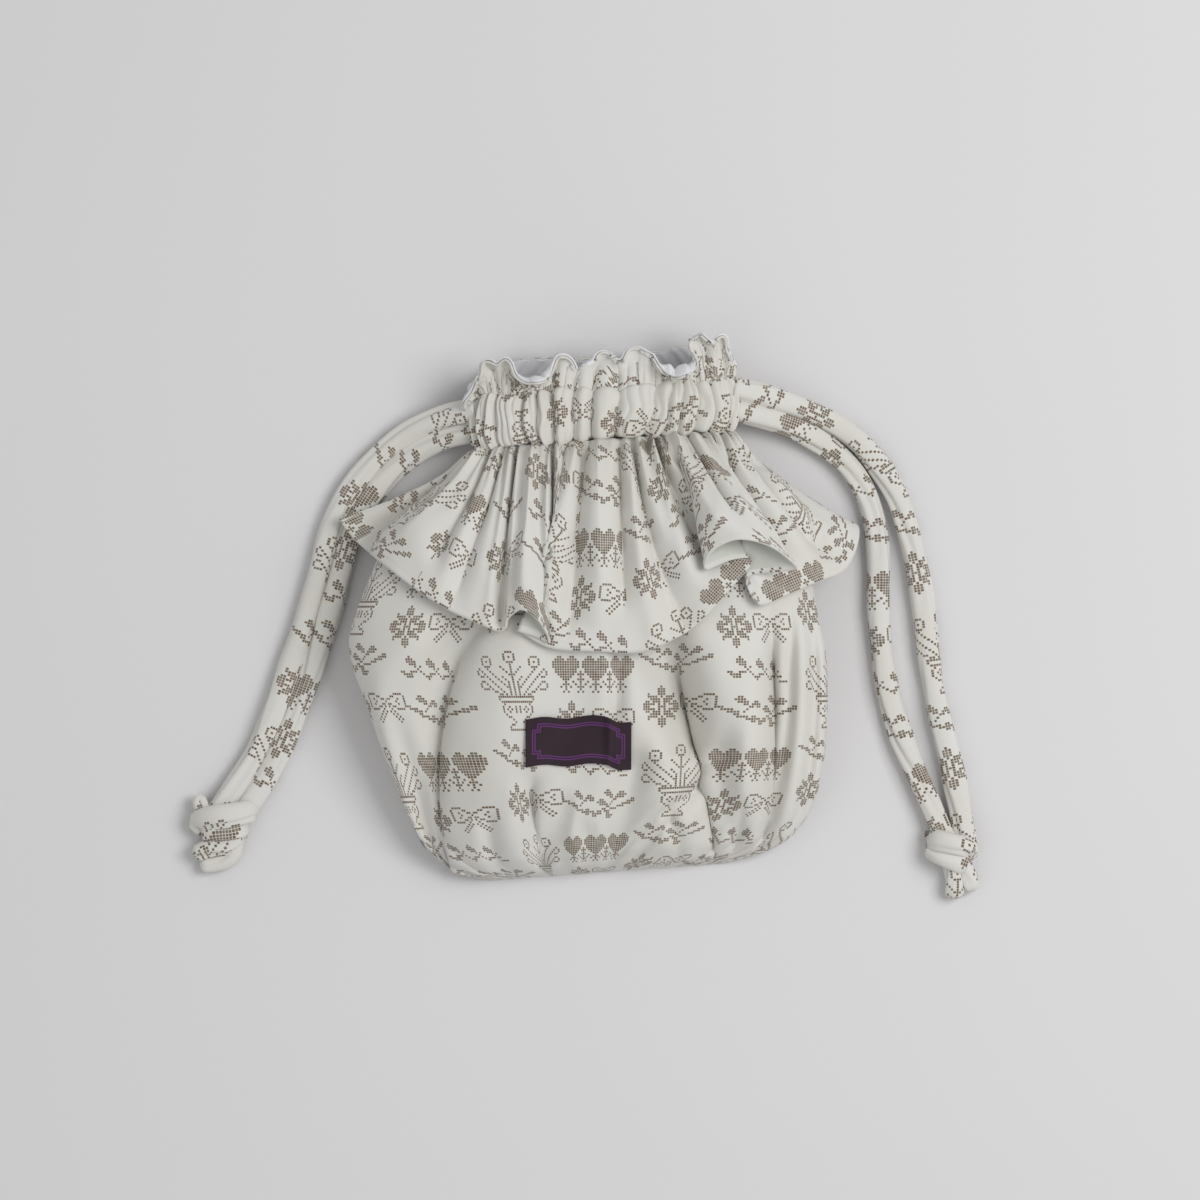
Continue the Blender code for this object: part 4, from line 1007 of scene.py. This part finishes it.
def ring_length(points):
    """The length of a closed curve."""
    return float(np.linalg.norm(np.roll(points, -1, axis=0) - points, axis=1).sum())


casing_turn = np.arange(CASING_AROUND) / CASING_AROUND
outer = casing_surface(*np.meshgrid(casing_turn, np.linspace(0.0, 1.0, CASING_ROWS)), 0.0)
inner = casing_surface(*np.meshgrid(casing_turn, np.linspace(0.0, 1.0, CASING_INNER_ROWS)), CASING_WALL)
casing_cut = (ring_length(outer[CASING_ROWS // 2]), CASING_LENGTH * 1.12)
outer_count = CASING_ROWS * CASING_AROUND
faces = grid_faces(CASING_ROWS, CASING_AROUND, True).tolist()
faces += grid_faces(CASING_INNER_ROWS, CASING_AROUND, True, outer_count, True).tolist()
inner_last = outer_count + (CASING_INNER_ROWS - 1) * CASING_AROUND
faces += strip_faces(CASING_AROUND, outer_count, 0)
faces += strip_faces(CASING_AROUND, outer_count - CASING_AROUND, inner_last)
points = np.concatenate([outer.reshape(-1, 3), inner.reshape(-1, 3)]) + DRAWING_ORIGIN
casing_share = np.linspace(0.0, 1.0, CASING_ROWS)
counts = pleat_count(ridge_turn(*np.meshgrid(casing_turn, casing_share)), CASING_RIDGES, 2, CASING_DRIFT)
down = np.broadcast_to(casing_share[:, None] * casing_cut[1], outer.shape[:2])
flats = np.zeros((len(faces), 4, 2))
printed = (CASING_ROWS - 1) * CASING_AROUND
flats[:printed] = panel_places(outer, casing_turn, pleat_bounds(counts, casing_turn), down)
casing = cloth_object("casing_gathered", points, faces, flats, True)
casing.data.materials.append(printed_knit("casing_knit", (0.031, 0.062)))
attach(casing, "root")
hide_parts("casing")

# The flounce: a strip of the knit, hemmed below and gathered onto the neck above. It lies over the
# upper half of the pouch in loose folds that roll into an open cone on the left and an arch on the right.
FLOUNCE_SPAN = 0.2220
FLOUNCE_DROP = 0.0895
FLOUNCE_WALL = 0.0011
FLOUNCE_SHIFT = -0.0010
FLOUNCE_PER_ROW = 12
FLOUNCE_ROWS = 56
FLOUNCE_PLEATS = 37
NECK_PLEAT = 0.0030
CREASE_DEPTH = 2.0
CREASE_PINCH = 0.0014
FOLD_LIMIT = 0.0048
DRAPE_CLEARANCE = 0.0053
FOLD_OPENING = 1.6
LAY_ROUNDING = 0.0010
HEM_ALLOWANCE = 0.0035
STITCHES_IN = 0.0004

# The hem, once round from its left tip over the front. across: share of half FLOUNCE_SPAN; down:
# share of FLOUNCE_DROP; height: share of BODY_HEIGHT; turn: where on the neck that part is sewn.
HemRow = namedtuple("HemRow", "name across down height turn")
HEM = (
    HemRow("left tip", -0.985, 0.360, 0.275, 0.000),
    HemRow("left edge", -0.915, 0.475, 0.305, 0.030),
    HemRow("left edge", -0.811, 0.580, 0.440, 0.055),
    HemRow("broad panel", -0.667, 0.715, 0.700, 0.080),
    HemRow("broad panel", -0.555, 0.800, 0.930, 0.105),
    HemRow("broad panel", -0.440, 0.865, 1.060, 0.125),
    HemRow("cone foot", -0.362, 0.895, 1.080, 0.145),
    HemRow("cone wall", -0.345, 0.845, 1.180, 0.155),
    HemRow("cone roof", -0.290, 0.795, 1.290, 0.172),
    HemRow("cone roof", -0.215, 0.850, 1.310, 0.190),
    HemRow("cone crest", -0.172, 0.950, 1.200, 0.205),
    HemRow("cone floor", -0.225, 0.925, 1.120, 0.213),
    HemRow("cone crease", -0.290, 0.900, 1.090, 0.218),
    HemRow("cone crease", -0.270, 0.915, 1.060, 0.222),
    HemRow("centre panel", -0.190, 0.970, 1.060, 0.227),
    HemRow("centre panel", -0.100, 0.987, 1.110, 0.237),
    HemRow("centre panel", 0.010, 0.990, 1.150, 0.250),
    HemRow("centre panel", 0.105, 1.000, 1.110, 0.265),
    HemRow("centre panel", 0.195, 0.985, 1.080, 0.280),
    HemRow("centre panel", 0.300, 0.925, 1.100, 0.293),
    HemRow("centre panel", 0.395, 0.840, 1.130, 0.302),
    HemRow("arch crease", 0.480, 0.725, 1.110, 0.309),
    HemRow("arch crease", 0.585, 0.570, 1.110, 0.315),
    HemRow("arch floor", 0.500, 0.565, 1.140, 0.319),
    HemRow("arch foot", 0.400, 0.615, 1.200, 0.324),
    HemRow("arch roof", 0.425, 0.530, 1.320, 0.332),
    HemRow("arch roof", 0.505, 0.475, 1.400, 0.345),
    HemRow("arch roof", 0.590, 0.478, 1.400, 0.360),
    HemRow("arch roof", 0.680, 0.520, 1.320, 0.375),
    HemRow("arch end", 0.755, 0.598, 1.160, 0.388),
    HemRow("under the arch", 0.680, 0.620, 1.070, 0.395),
    HemRow("second crease", 0.560, 0.645, 1.020, 0.402),
    HemRow("right panel", 0.605, 0.775, 0.980, 0.412),
    HemRow("right panel", 0.690, 0.740, 0.920, 0.425),
    HemRow("right panel", 0.830, 0.665, 0.720, 0.440),
    HemRow("right panel", 0.945, 0.605, 0.440, 0.460),
    HemRow("right tip", 0.995, 0.440, 0.250, 0.490),
    HemRow("right back edge", 0.960, 0.400, 0.075, 0.520),
    HemRow("back", 0.780, 0.640, 0.030, 0.570),
    HemRow("back", 0.560, 0.800, 0.018, 0.620),
    HemRow("back", 0.300, 0.900, 0.030, 0.680),
    HemRow("back", 0.050, 0.930, 0.018, 0.740),
    HemRow("back", -0.200, 0.900, 0.030, 0.800),
    HemRow("back", -0.450, 0.800, 0.018, 0.860),
    HemRow("back", -0.680, 0.640, 0.040, 0.920),
    HemRow("left back edge", -0.880, 0.500, 0.190, 0.970),
)

# Creases that run down the flounce. top, foot: where they start and end as turns round the neck; to:
# how far down they reach; width: in turns; depth: in metres, less than 0 for a ridge.
Crease = namedtuple("Crease", "name top foot to width depth")
CREASES = (
    Crease("left edge", 0.020, 0.030, 0.95, 0.006, 0.0016),
    Crease("left ridge", 0.060, 0.052, 0.85, 0.009, -0.0015),
    Crease("broad panel", 0.088, 0.075, 0.80, 0.007, 0.0018),
    Crease("broad panel", 0.116, 0.104, 0.95, 0.006, 0.0018),
    Crease("deep crease by the cone", 0.140, 0.143, 1.00, 0.005, 0.0036),
    Crease("cone ridge", 0.166, 0.176, 0.95, 0.009, -0.0020),
    Crease("beside the cone", 0.196, 0.212, 0.90, 0.005, 0.0034),
    Crease("centre panel", 0.232, 0.236, 0.92, 0.006, 0.0026),
    Crease("centre ridge", 0.246, 0.251, 0.70, 0.008, -0.0016),
    Crease("centre panel", 0.262, 0.266, 0.80, 0.006, 0.0024),
    Crease("long slanting crease", 0.276, 0.297, 1.00, 0.005, 0.0030),
    Crease("dark gap by the arch", 0.303, 0.314, 0.85, 0.004, 0.0040),
    Crease("arch ridge", 0.330, 0.345, 0.90, 0.009, -0.0016),
    Crease("on the arch", 0.352, 0.366, 0.70, 0.005, 0.0022),
    Crease("past the arch", 0.392, 0.402, 0.90, 0.005, 0.0030),
    Crease("right panel", 0.424, 0.428, 0.85, 0.006, 0.0020),
    Crease("right edge", 0.458, 0.455, 0.90, 0.007, 0.0018),
)


def round_curve(values, per_row):
    """A closed smooth curve through the rows' values, per_row steps from each row to the next."""
    before, after, second = (np.roll(values, shift, axis=0) for shift in (1, -1, -2))
    shares = np.arange(per_row) / per_row
    steps = [curve_between(before, values, after, second, share) for share in shares]
    return np.stack(steps, axis=1).reshape(-1, *values.shape[1:])


def ring_average(points, reach):
    """Each point of a closed curve as the average of its neighbours up to reach points away."""
    total, weights = np.zeros_like(points), 0.0
    for step in range(-reach, reach + 1):
        weight = 1 + math.cos(math.pi * step / (reach + 1))
        total += weight * np.roll(points, step, axis=0)
        weights += weight
    return total / weights


def round_table(table, names, per_row, reach):
    """A table's columns as a closed smooth curve, and the turn that each of its points is sewn at."""
    columns = np.array([[getattr(row, name) for name in names] for row in table], dtype=float)
    values = ring_average(round_curve(columns, per_row), reach)
    turns = np.array([row.turn for row in table])
    turns = round_curve(turns - np.arange(len(turns)) / len(turns), per_row)
    return values, turns + np.arange(len(turns)) / len(turns)


def two_layers(name, face_side, wall, flat, hem_turn=0.0):
    """A closed sheet: its printed side, and its reverse a wall's thickness below."""
    rows, around = face_side.shape[:2]
    reverse = face_side - outward_normals(face_side) * wall
    start = rows * around
    faces = grid_faces(rows, around, True, 0).tolist()
    printed = len(faces)
    faces += grid_faces(rows, around, True, start, True).tolist()
    here = np.arange(around)
    after = (here + 1) % around
    last = (rows - 1) * around
    faces += np.stack([here, start + here, start + after, after], axis=-1).tolist()
    faces += strip_faces(around, last, start + last)
    points = np.concatenate([face_side.reshape(-1, 3), reverse.reshape(-1, 3)]) + DRAWING_ORIGIN
    flats = np.zeros((len(faces), 4, 2))
    flats[:printed] = flat
    flats[printed : 2 * printed] = flat[:, ::-1]
    made = cloth_object(name, points, faces, flats, True)
    turned_rows = round(hem_turn * (rows - 1))
    indices = np.zeros(len(faces), dtype=np.int32)
    indices[printed + turned_rows * around : 2 * printed] = 1
    made.data.materials.append(None)
    made.data.materials.append(None)
    made.data.polygons.foreach_set("material_index", indices)
    return made


hem, hem_turn_at = round_table(HEM, ("across", "down", "height"), FLOUNCE_PER_ROW, 5)
hem = np.stack([
    FLOUNCE_SHIFT + hem[:, 0] * FLOUNCE_SPAN / 2,
    -hem[:, 1] * FLOUNCE_DROP,
    hem[:, 2] * BODY_HEIGHT + FLOUNCE_WALL,
], axis=-1)
neck_line = body_surface(hem_turn_at, np.full_like(hem_turn_at, 0.001), -PIECE_GAP - FLOUNCE_WALL, 0.0)
smooth_hem = ring_average(hem, 4 * FLOUNCE_PER_ROW)
over_front = smoothstep(np.sin(2 * math.pi * hem_turn_at), -0.02, 0.12)
rows = []
for share in np.linspace(0.0, 1.0, FLOUNCE_ROWS):
    opening = share**FOLD_OPENING
    point = neck_line + (smooth_hem - neck_line) * share + (hem - smooth_hem) * opening
    rise = over_front * (1 - (1 - share) ** 1.8) + (1 - over_front) * share
    point[:, 2] = neck_line[:, 2] + (smooth_hem[:, 2] - neck_line[:, 2]) * rise
    point[:, 2] += (hem[:, 2] - smooth_hem[:, 2]) * opening
    clear, _ = body_heights(point[:, 0], point[:, 1], DRAPE_CLEARANCE, 3)
    lifted = softer_max(point[:, 2], clear, LAY_ROUNDING)
    point[:, 2] += (lifted - point[:, 2]) * over_front * smoothstep(share, 0.0, 0.1)
    _, under = body_heights(point[:, 0], point[:, 1], DRAPE_CLEARANCE, 0)
    pressed = np.maximum(-softer_max(-point[:, 2], -under, LAY_ROUNDING), FLOUNCE_WALL + PIECE_GAP)
    point[:, 2] += (pressed - point[:, 2]) * (1 - over_front) * smoothstep(share, 0.0, 0.1)
    rows.append(point)
flounce_rows = np.array(rows)
down_share = np.linspace(0.0, 1.0, FLOUNCE_ROWS)[:, None]
normals = outward_normals(flounce_rows[::-1])[::-1]
# gathers at the neck, which fade on the way to the hem, and then the long creases
pleats = gathers(hem_turn_at, FLOUNCE_PLEATS, 3, 1.4)[None, :] - 0.35
push = NECK_PLEAT * pleats * (1 - smoothstep(down_share, 0.01, 0.33)) * smoothstep(down_share, -0.05, 0.05)
pinch = np.zeros_like(push)
for crease in CREASES:
    middle = crease.top + (crease.foot - crease.top) * down_share
    side = (hem_turn_at[None, :] - middle) / (crease.width * (0.6 + 0.8 * down_share))
    present = smoothstep(down_share, -0.05, 0.08)
    present = present * (1 - smoothstep(down_share, crease.to - 0.15, crease.to + 0.05))
    push -= CREASE_DEPTH * crease.depth * present * np.exp(-np.abs(side) ** 1.3)
    push += 0.35 * CREASE_DEPTH * crease.depth * present * np.exp(-((np.abs(side) - 1.7) ** 2))
    pinch -= CREASE_PINCH * (crease.depth > 0) * present * side * np.exp(-(side**2))
push *= over_front[None, :]
wave = rough(flounce_rows, (42.0, 28.0, 28.0), 12.5)
crumple = rough(flounce_rows, (150.0, 95.0, 95.0), 4.5)
push += (0.0010 * wave + 0.00045 * crumple) * over_front[None, :] * smoothstep(down_share, 0.05, 0.3)
sideways = np.roll(flounce_rows, -1, axis=1) - np.roll(flounce_rows, 1, axis=1)
sideways /= np.linalg.norm(sideways, axis=-1, keepdims=True)
flounce_rows = flounce_rows + normals * np.maximum(push, -FOLD_LIMIT)[..., None]
flounce_rows += sideways * (pinch * over_front[None, :] * smoothstep(down_share, 0.0, 0.3))[..., None]
flounce_rows[..., 2] = np.maximum(flounce_rows[..., 2], FLOUNCE_WALL + PIECE_GAP)
flounce_cut = (ring_length(hem), FLOUNCE_DROP * 1.05)
# the print is level with the hem, so places down the cloth are counted from there
flounce_face = flounce_rows[::-1]
from_hem = np.cumsum(np.linalg.norm(np.diff(flounce_face, axis=0, prepend=flounce_face[:1]), axis=-1), axis=0)
folds = [crease for crease in CREASES if crease.depth > 0]
crease_bounds = [crease.foot + (crease.top - crease.foot) * (1 - down_share[::-1, 0]) for crease in folds]
back_bounds = [np.full(FLOUNCE_ROWS, turn) for turn in (0.50, 0.62, 0.75, 0.87)]
ends = [np.zeros(FLOUNCE_ROWS), np.ones(FLOUNCE_ROWS)]
flounce_bounds = np.array([ends[0], *crease_bounds, *back_bounds, ends[1]])
flounce_flat = panel_places(flounce_face, hem_turn_at, flounce_bounds, flounce_cut[1] - from_hem)
turned_hem = HEM_ALLOWANCE / flounce_cut[1]
flounce = two_layers("flounce_folds", flounce_face, FLOUNCE_WALL, flounce_flat, turned_hem)
hem_stitches = (flounce_cut[1] - HEM_ALLOWANCE + STITCHES_IN,)
flounce.data.materials[0] = printed_knit("flounce_knit", (0.055, 0.004), hem_stitches)
flounce.data.materials[1] = plain_cotton("flounce_reverse", KNIT_REVERSE)
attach(flounce, "root")
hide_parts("flounce")

# The frill and its lining: the heading above the casing. The knit and the white lining are sewn back to
# back, and stand up and fall over in small lobes, so that the lining shows inside them.
FRILL_LENGTH = 0.0235
FRILL_WALL = 0.0009
FRILL_PER_ROW = 18
FRILL_ROWS = 30
FRILL_GATHERS = 37
FRILL_FLUTES = 23
FLUTE_HEIGHT = 0.0017
FRILL_PANELS = 19
FOOT_TUCK = 0.0004
OVER_CASING = 0.0030
# All of the rim lies lower than the heights in RIM by this share of NECK_HEIGHT
RIM_LOWERED = 0.2
LINING_WALL = 0.0008
LINING_GAP = 0.0002

# The rim, once round from its left side over the front. across: share of half NECK_WIDTH; rise: share
# of FRILL_LENGTH above the casing; height: share of NECK_HEIGHT; stand: how far up the cloth stands.
RimRow = namedtuple("RimRow", "name across rise height stand turn")
RIM = (
    RimRow("left side", -1.10, 0.16, 0.36, 0.30, 0.000),
    RimRow("left lobe", -1.13, -0.06, 0.56, 0.25, 0.022),
    RimRow("left lobe", -1.12, -0.24, 0.86, 0.20, 0.040),
    RimRow("left lobe", -1.15, -0.06, 1.06, 0.30, 0.057),
    RimRow("left lobe", -1.07, 0.28, 1.22, 0.48, 0.076),
    RimRow("left lobe", -0.96, 0.56, 1.34, 0.66, 0.097),
    RimRow("left lobe", -0.82, 0.62, 1.44, 0.70, 0.117),
    RimRow("left dip", -0.70, 0.40, 1.52, 0.56, 0.134),
    RimRow("left dip", -0.61, 0.16, 1.58, 0.46, 0.149),
    RimRow("left dip", -0.52, 0.12, 1.60, 0.42, 0.163),
    RimRow("left dip", -0.46, 0.26, 1.54, 0.46, 0.175),
    RimRow("left peak", -0.41, 0.46, 1.46, 0.60, 0.187),
    RimRow("left peak", -0.32, 0.56, 1.42, 0.68, 0.200),
    RimRow("small lobe", -0.24, 0.46, 1.38, 0.62, 0.211),
    RimRow("small lobe", -0.18, 0.30, 1.26, 0.52, 0.221),
    RimRow("middle", -0.10, 0.48, 1.36, 0.62, 0.234),
    RimRow("middle", 0.02, 0.60, 1.32, 0.68, 0.250),
    RimRow("middle", 0.14, 0.50, 1.42, 0.64, 0.265),
    RimRow("middle", 0.24, 0.64, 1.38, 0.70, 0.279),
    RimRow("right fold", 0.36, 0.60, 1.42, 0.70, 0.293),
    RimRow("right fold", 0.46, 0.36, 1.54, 0.54, 0.307),
    RimRow("right fold", 0.52, 0.12, 1.62, 0.44, 0.320),
    RimRow("right fold", 0.61, 0.04, 1.64, 0.40, 0.334),
    RimRow("right fold", 0.71, 0.10, 1.58, 0.44, 0.348),
    RimRow("right fold", 0.73, 0.32, 1.46, 0.54, 0.361),
    RimRow("right stack", 0.65, 0.58, 1.34, 0.70, 0.374),
    RimRow("right stack", 0.69, 0.76, 1.26, 0.80, 0.388),
    RimRow("right stack", 0.79, 0.72, 1.38, 0.80, 0.402),
    RimRow("right stack", 0.89, 0.74, 1.26, 0.80, 0.416),
    RimRow("right stack", 0.99, 0.66, 1.18, 0.74, 0.432),
    RimRow("right stack", 1.04, 0.40, 0.98, 0.62, 0.448),
    RimRow("right side", 1.03, 0.22, 0.70, 0.55, 0.468),
    RimRow("right side", 1.02, 0.16, 0.42, 0.50, 0.500),
    RimRow("back", 0.92, 0.50, 0.24, 0.52, 0.545),
    RimRow("back", 0.66, 0.68, 0.24, 0.50, 0.610),
    RimRow("back", 0.34, 0.56, 0.30, 0.46, 0.680),
    RimRow("back", 0.00, 0.54, 0.26, 0.44, 0.750),
    RimRow("back", -0.36, 0.60, 0.30, 0.46, 0.820),
    RimRow("back", -0.70, 0.66, 0.24, 0.50, 0.890),
    RimRow("back", -0.96, 0.42, 0.28, 0.50, 0.955),
)


def even_columns(grid, count):
    """The grid's rows moved so that each column has its points at even distances."""
    return np.stack([evenly(grid[:, index], count) for index in range(grid.shape[1])], axis=1)


rim, rim_turn = round_table(RIM, ("across", "rise", "height", "stand"), FRILL_PER_ROW, 12)
foot = casing_surface(rim_turn, np.ones_like(rim_turn), 0.0)
foot[:, 1] -= FOOT_TUCK
foot_front = np.sin(2 * math.pi * rim_turn) > 0
foot[:, 2] = np.where(foot_front, foot[:, 2] - FRILL_WALL - FOOT_TUCK, foot[:, 2] + FOOT_TUCK)
edge_x = NECK_SHIFT + rim[:, 0] * NECK_WIDTH / 2
edge_y = PIECE_GAP + CASING_LENGTH + rim[:, 1] * FRILL_LENGTH + MOUTH_SLOPE * (edge_x - NECK_SHIFT)
edge = np.stack([edge_x, edge_y, NECK_LIFT + (rim[:, 2] - RIM_LOWERED) * NECK_HEIGHT], axis=-1)
knee = 0.55 * foot + 0.45 * edge
knee[:, 1] = foot[:, 1] + rim[:, 3] * FRILL_LENGTH
bend = np.linspace(0.0, 1.0, 60)[:, None, None]
frill_rows = even_columns((1 - bend) ** 2 * foot + 2 * bend * (1 - bend) * knee + bend**2 * edge, FRILL_ROWS)
up_share = np.linspace(0.0, 1.0, FRILL_ROWS)[:, None]
frill_front = smoothstep(np.sin(2 * math.pi * rim_turn), -0.1, 0.2)[None, :]
fallen = smoothstep(frill_rows[..., 1] - foot[:, 1], 0.0022, 0.0) * smoothstep(up_share, 0.3, 0.6)
casing_half, casing_full = NECK_WIDTH / 2, CASING_BULGE + SEAM_LAYER + OVER_CASING
casing_ring = (NECK_SHIFT, casing_half, casing_half, NECK_LIFT, NECK_LIFT + NECK_HEIGHT, casing_full)
casing_top, _ = ring_heights(frill_rows[..., 0], *casing_ring)
above = softer_max(frill_rows[..., 2], casing_top, LAY_ROUNDING)
frill_rows[..., 2] += (above - frill_rows[..., 2]) * fallen * frill_front
ripple = gathers(rim_turn, FRILL_GATHERS, 2, 1.5)[None, :] - 0.55
fine_ripple = gathers(rim_turn, 3 * FRILL_GATHERS, 8)[None, :] - 0.6
flute = np.sin(2 * math.pi * pleat_count(rim_turn, FRILL_FLUTES, 4, 1.2))[None, :]
push = 0.0013 * ripple * smoothstep(up_share, 0.0, 0.1) * (1 - 0.4 * smoothstep(up_share, 0.3, 1.0))
push = push + 0.0005 * fine_ripple * (1 - smoothstep(up_share, 0.2, 0.9))
push = push + FLUTE_HEIGHT * flute * smoothstep(up_share, 0.25, 1.0) * (0.3 + 0.7 * frill_front)
push = push + 0.0006 * rough(frill_rows, (170.0, 120.0, 120.0), 9.5) * smoothstep(up_share, 0.1, 0.5)
frill_rows = frill_rows + outward_normals(frill_rows) * push[..., None]
frill_face = frill_rows + outward_normals(frill_rows) * FRILL_WALL
counts = np.broadcast_to(pleat_count(rim_turn, FRILL_PANELS, 2, 1.5), frill_rows.shape[:2])
from_foot = np.cumsum(np.linalg.norm(np.diff(frill_rows, axis=0, prepend=frill_rows[:1]), axis=-1), axis=0)
# the flat cloth has the mean area of the frill's two sides, at its mean height
frill_height = float(from_foot[-1].mean())
frill_cut = ((ring_area(frill_rows) + ring_area(frill_face)) / 2 / frill_height, frill_height)
frill_flat = panel_places(frill_face, rim_turn, pleat_bounds(counts, rim_turn), from_foot - from_foot[-1:])
frill = two_layers("frill_lobes", frill_face, FRILL_WALL, frill_flat)
frill.data.materials[0] = printed_knit("frill_knit", (0.021, 0.085), (-0.0022,))
frill.data.materials[1] = frill.data.materials[0]
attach(frill, "root")
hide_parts("top_frill")

lining_rows = even_columns((frill_rows - outward_normals(frill_rows) * LINING_GAP)[:-1], FRILL_ROWS)
lining_flat = panel_places(lining_rows, rim_turn, pleat_bounds(counts, rim_turn), from_foot)
lining = two_layers("lining_folds", lining_rows, LINING_WALL, lining_flat)
lining.data.materials[0] = plain_cotton("lining_cotton", LINING_WHITE)
lining.data.materials[1] = lining.data.materials[0]
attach(lining, "root")
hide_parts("lining")

# The label: a small damask-woven tape in dark aubergine with a double border in purple, sewn to the
# pouch's front. It lies over the folds of the knit, and its right end buckles. It bears no words.
LABEL_WIDTH = 0.0440
LABEL_HEIGHT = 0.0200
LABEL_WALL = 0.0009
LABEL_ACROSS = -0.0088
LABEL_DOWN = 0.1260
LABEL_COLUMNS = 90
LABEL_ROWS = 42
LABEL_DARK = (0.016, 0.006, 0.012)
LABEL_LIGHT = (0.040, 0.020, 0.032)
LABEL_PURPLE = (0.150, 0.035, 0.190)
BORDER_INSET = 0.0026
BORDER_WIDTH = 0.0005
BORDER_STEP = 0.0010
BORDER_NOTCH = 0.0022
THREAD_PITCH = 0.00030
PICK_PITCH = 0.00045

pouch_tree = BVHTree.FromPolygons(
    [vertex.co[:] for vertex in pouch.data.vertices],
    [tuple(face.vertices) for face in pouch.data.polygons[:outer_faces]],
)
across, down = np.meshgrid(
    np.linspace(-0.5, 0.5, LABEL_COLUMNS) * LABEL_WIDTH, np.linspace(-0.5, 0.5, LABEL_ROWS) * LABEL_HEIGHT
)
buckle = smoothstep(across / LABEL_WIDTH, 0.26, 0.40)
x = LABEL_ACROSS + across
y = -LABEL_DOWN - down - 0.0028 * buckle + 0.03 * across
y += 0.0005 * np.sin(across * 330) * (1 - buckle)
z = np.zeros_like(x)
for index in np.ndindex(x.shape):
    start = Vector((x[index] + DRAWING_ORIGIN[0], y[index] + DRAWING_ORIGIN[1], 0.1))
    found = pouch_tree.ray_cast(start, Vector((0.0, 0.0, -1.0)))
    z[index] = found[0].z
for _ in range(6):
    z[:, 1:-1] = 0.25 * z[:, :-2] + 0.5 * z[:, 1:-1] + 0.25 * z[:, 2:]
    z[1:-1] = 0.25 * z[:-2] + 0.5 * z[1:-1] + 0.25 * z[2:]
z += PIECE_GAP + LABEL_WALL + 0.0004
z += 0.0016 * np.exp(-(((across / LABEL_WIDTH - 0.30) / 0.05) ** 2))
z += 0.0004 * np.sin(across * 260 + 1.0) * np.sin(down * 200)
points = np.stack([x, y, z], axis=-1).reshape(-1, 3) + DRAWING_ORIGIN
label_faces = grid_faces(LABEL_ROWS, LABEL_COLUMNS, False, 0, True).tolist()
label = cloth_object("label_woven", points, label_faces, np.stack([across, down], axis=-1))
wall = label.modifiers.new("wall", "SOLIDIFY")
wall.thickness = LABEL_WALL
wall.offset = -1.0
bpy.context.view_layer.objects.active = label
bpy.ops.object.modifier_apply(modifier="wall")

material, tree = new_material("label_damask")
flat_place = node(tree, "ShaderNodeUVMap", {"uv_map": "flat_cloth"})
label_x, label_y, _ = parted(tree, "ShaderNodeSeparateXYZ", flat_place)
from_side = LABEL_WIDTH / 2 - label_x.math("ABSOLUTE")
from_edge = LABEL_HEIGHT / 2 - label_y.math("ABSOLUTE")
# the border steps in at the corners
stepped = from_side.math("MAXIMUM", from_edge) - BORDER_NOTCH
inward = from_side.math("MINIMUM", from_edge).math("MINIMUM", stepped)
border = 0.0
for line in (BORDER_INSET, BORDER_INSET + BORDER_STEP):
    border = (inward > line) * (inward < line + BORDER_WIDTH) + border
threads = (label_y * (2 * math.pi / THREAD_PITCH)).math("SINE") * 0.5 + 0.5
picks = (label_x * (2 * math.pi / PICK_PITCH)).math("SINE") * 0.5 + 0.5
ground = blend_colours(tree, threads * 0.6 + picks * 0.4, LABEL_DARK, LABEL_LIGHT)
woven = blend_colours(tree, border * (0.7 + 0.3 * threads), ground, LABEL_PURPLE)
finish(tree, woven, 0.62, 0.35, threads + picks * 0.6 + border, 0.5)
label.data.materials.append(material)
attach(label, "root")
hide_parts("label")

# The studio: a plain pale floor, a broad soft light high on the right, and a weaker one opposite
FLOOR_SIZE = 6.0
FLOOR_GREY = (0.700, 0.693, 0.697)
ROOM_LIGHT = 0.45

bpy.ops.object.select_all(action="DESELECT")
bpy.ops.mesh.primitive_plane_add(size=FLOOR_SIZE, location=(0.0, 0.0, 0.0))
floor = bpy.context.active_object
floor.name = "floor"
material, tree = new_material("floor_matt")
lighter = tuple(1.03 * value for value in FLOOR_GREY)
finish(tree, blend_colours(tree, noise_at(tree, 3.0, 2.0), FLOOR_GREY, lighter), 0.9, 0.1)
floor.data.materials.append(material)

Light = namedtuple("Light", "name place size power")
LIGHTS = (
    Light("key", (1.05, 0.28, 1.47), 0.98, 18.4),
    Light("fill", (-0.9, -0.5, 1.3), 1.4, 3.0),
)
for light in LIGHTS:
    lamp = bpy.data.lights.new(light.name, "AREA")
    lamp.size = light.size
    lamp.energy = light.power
    made = bpy.data.objects.new(light.name, lamp)
    made.location = light.place
    made.rotation_euler = Vector(light.place).to_track_quat("Z", "Y").to_euler()
    bpy.context.scene.collection.objects.link(made)
world = bpy.data.worlds.new("room")
world.use_nodes = True
background = world.node_tree.nodes["Background"].inputs
background["Color"].default_value = (1.0, 1.0, 1.0, 1.0)
background["Strength"].default_value = ROOM_LIGHT
bpy.context.scene.world = world
bpy.context.scene.view_settings.view_transform = "Standard"
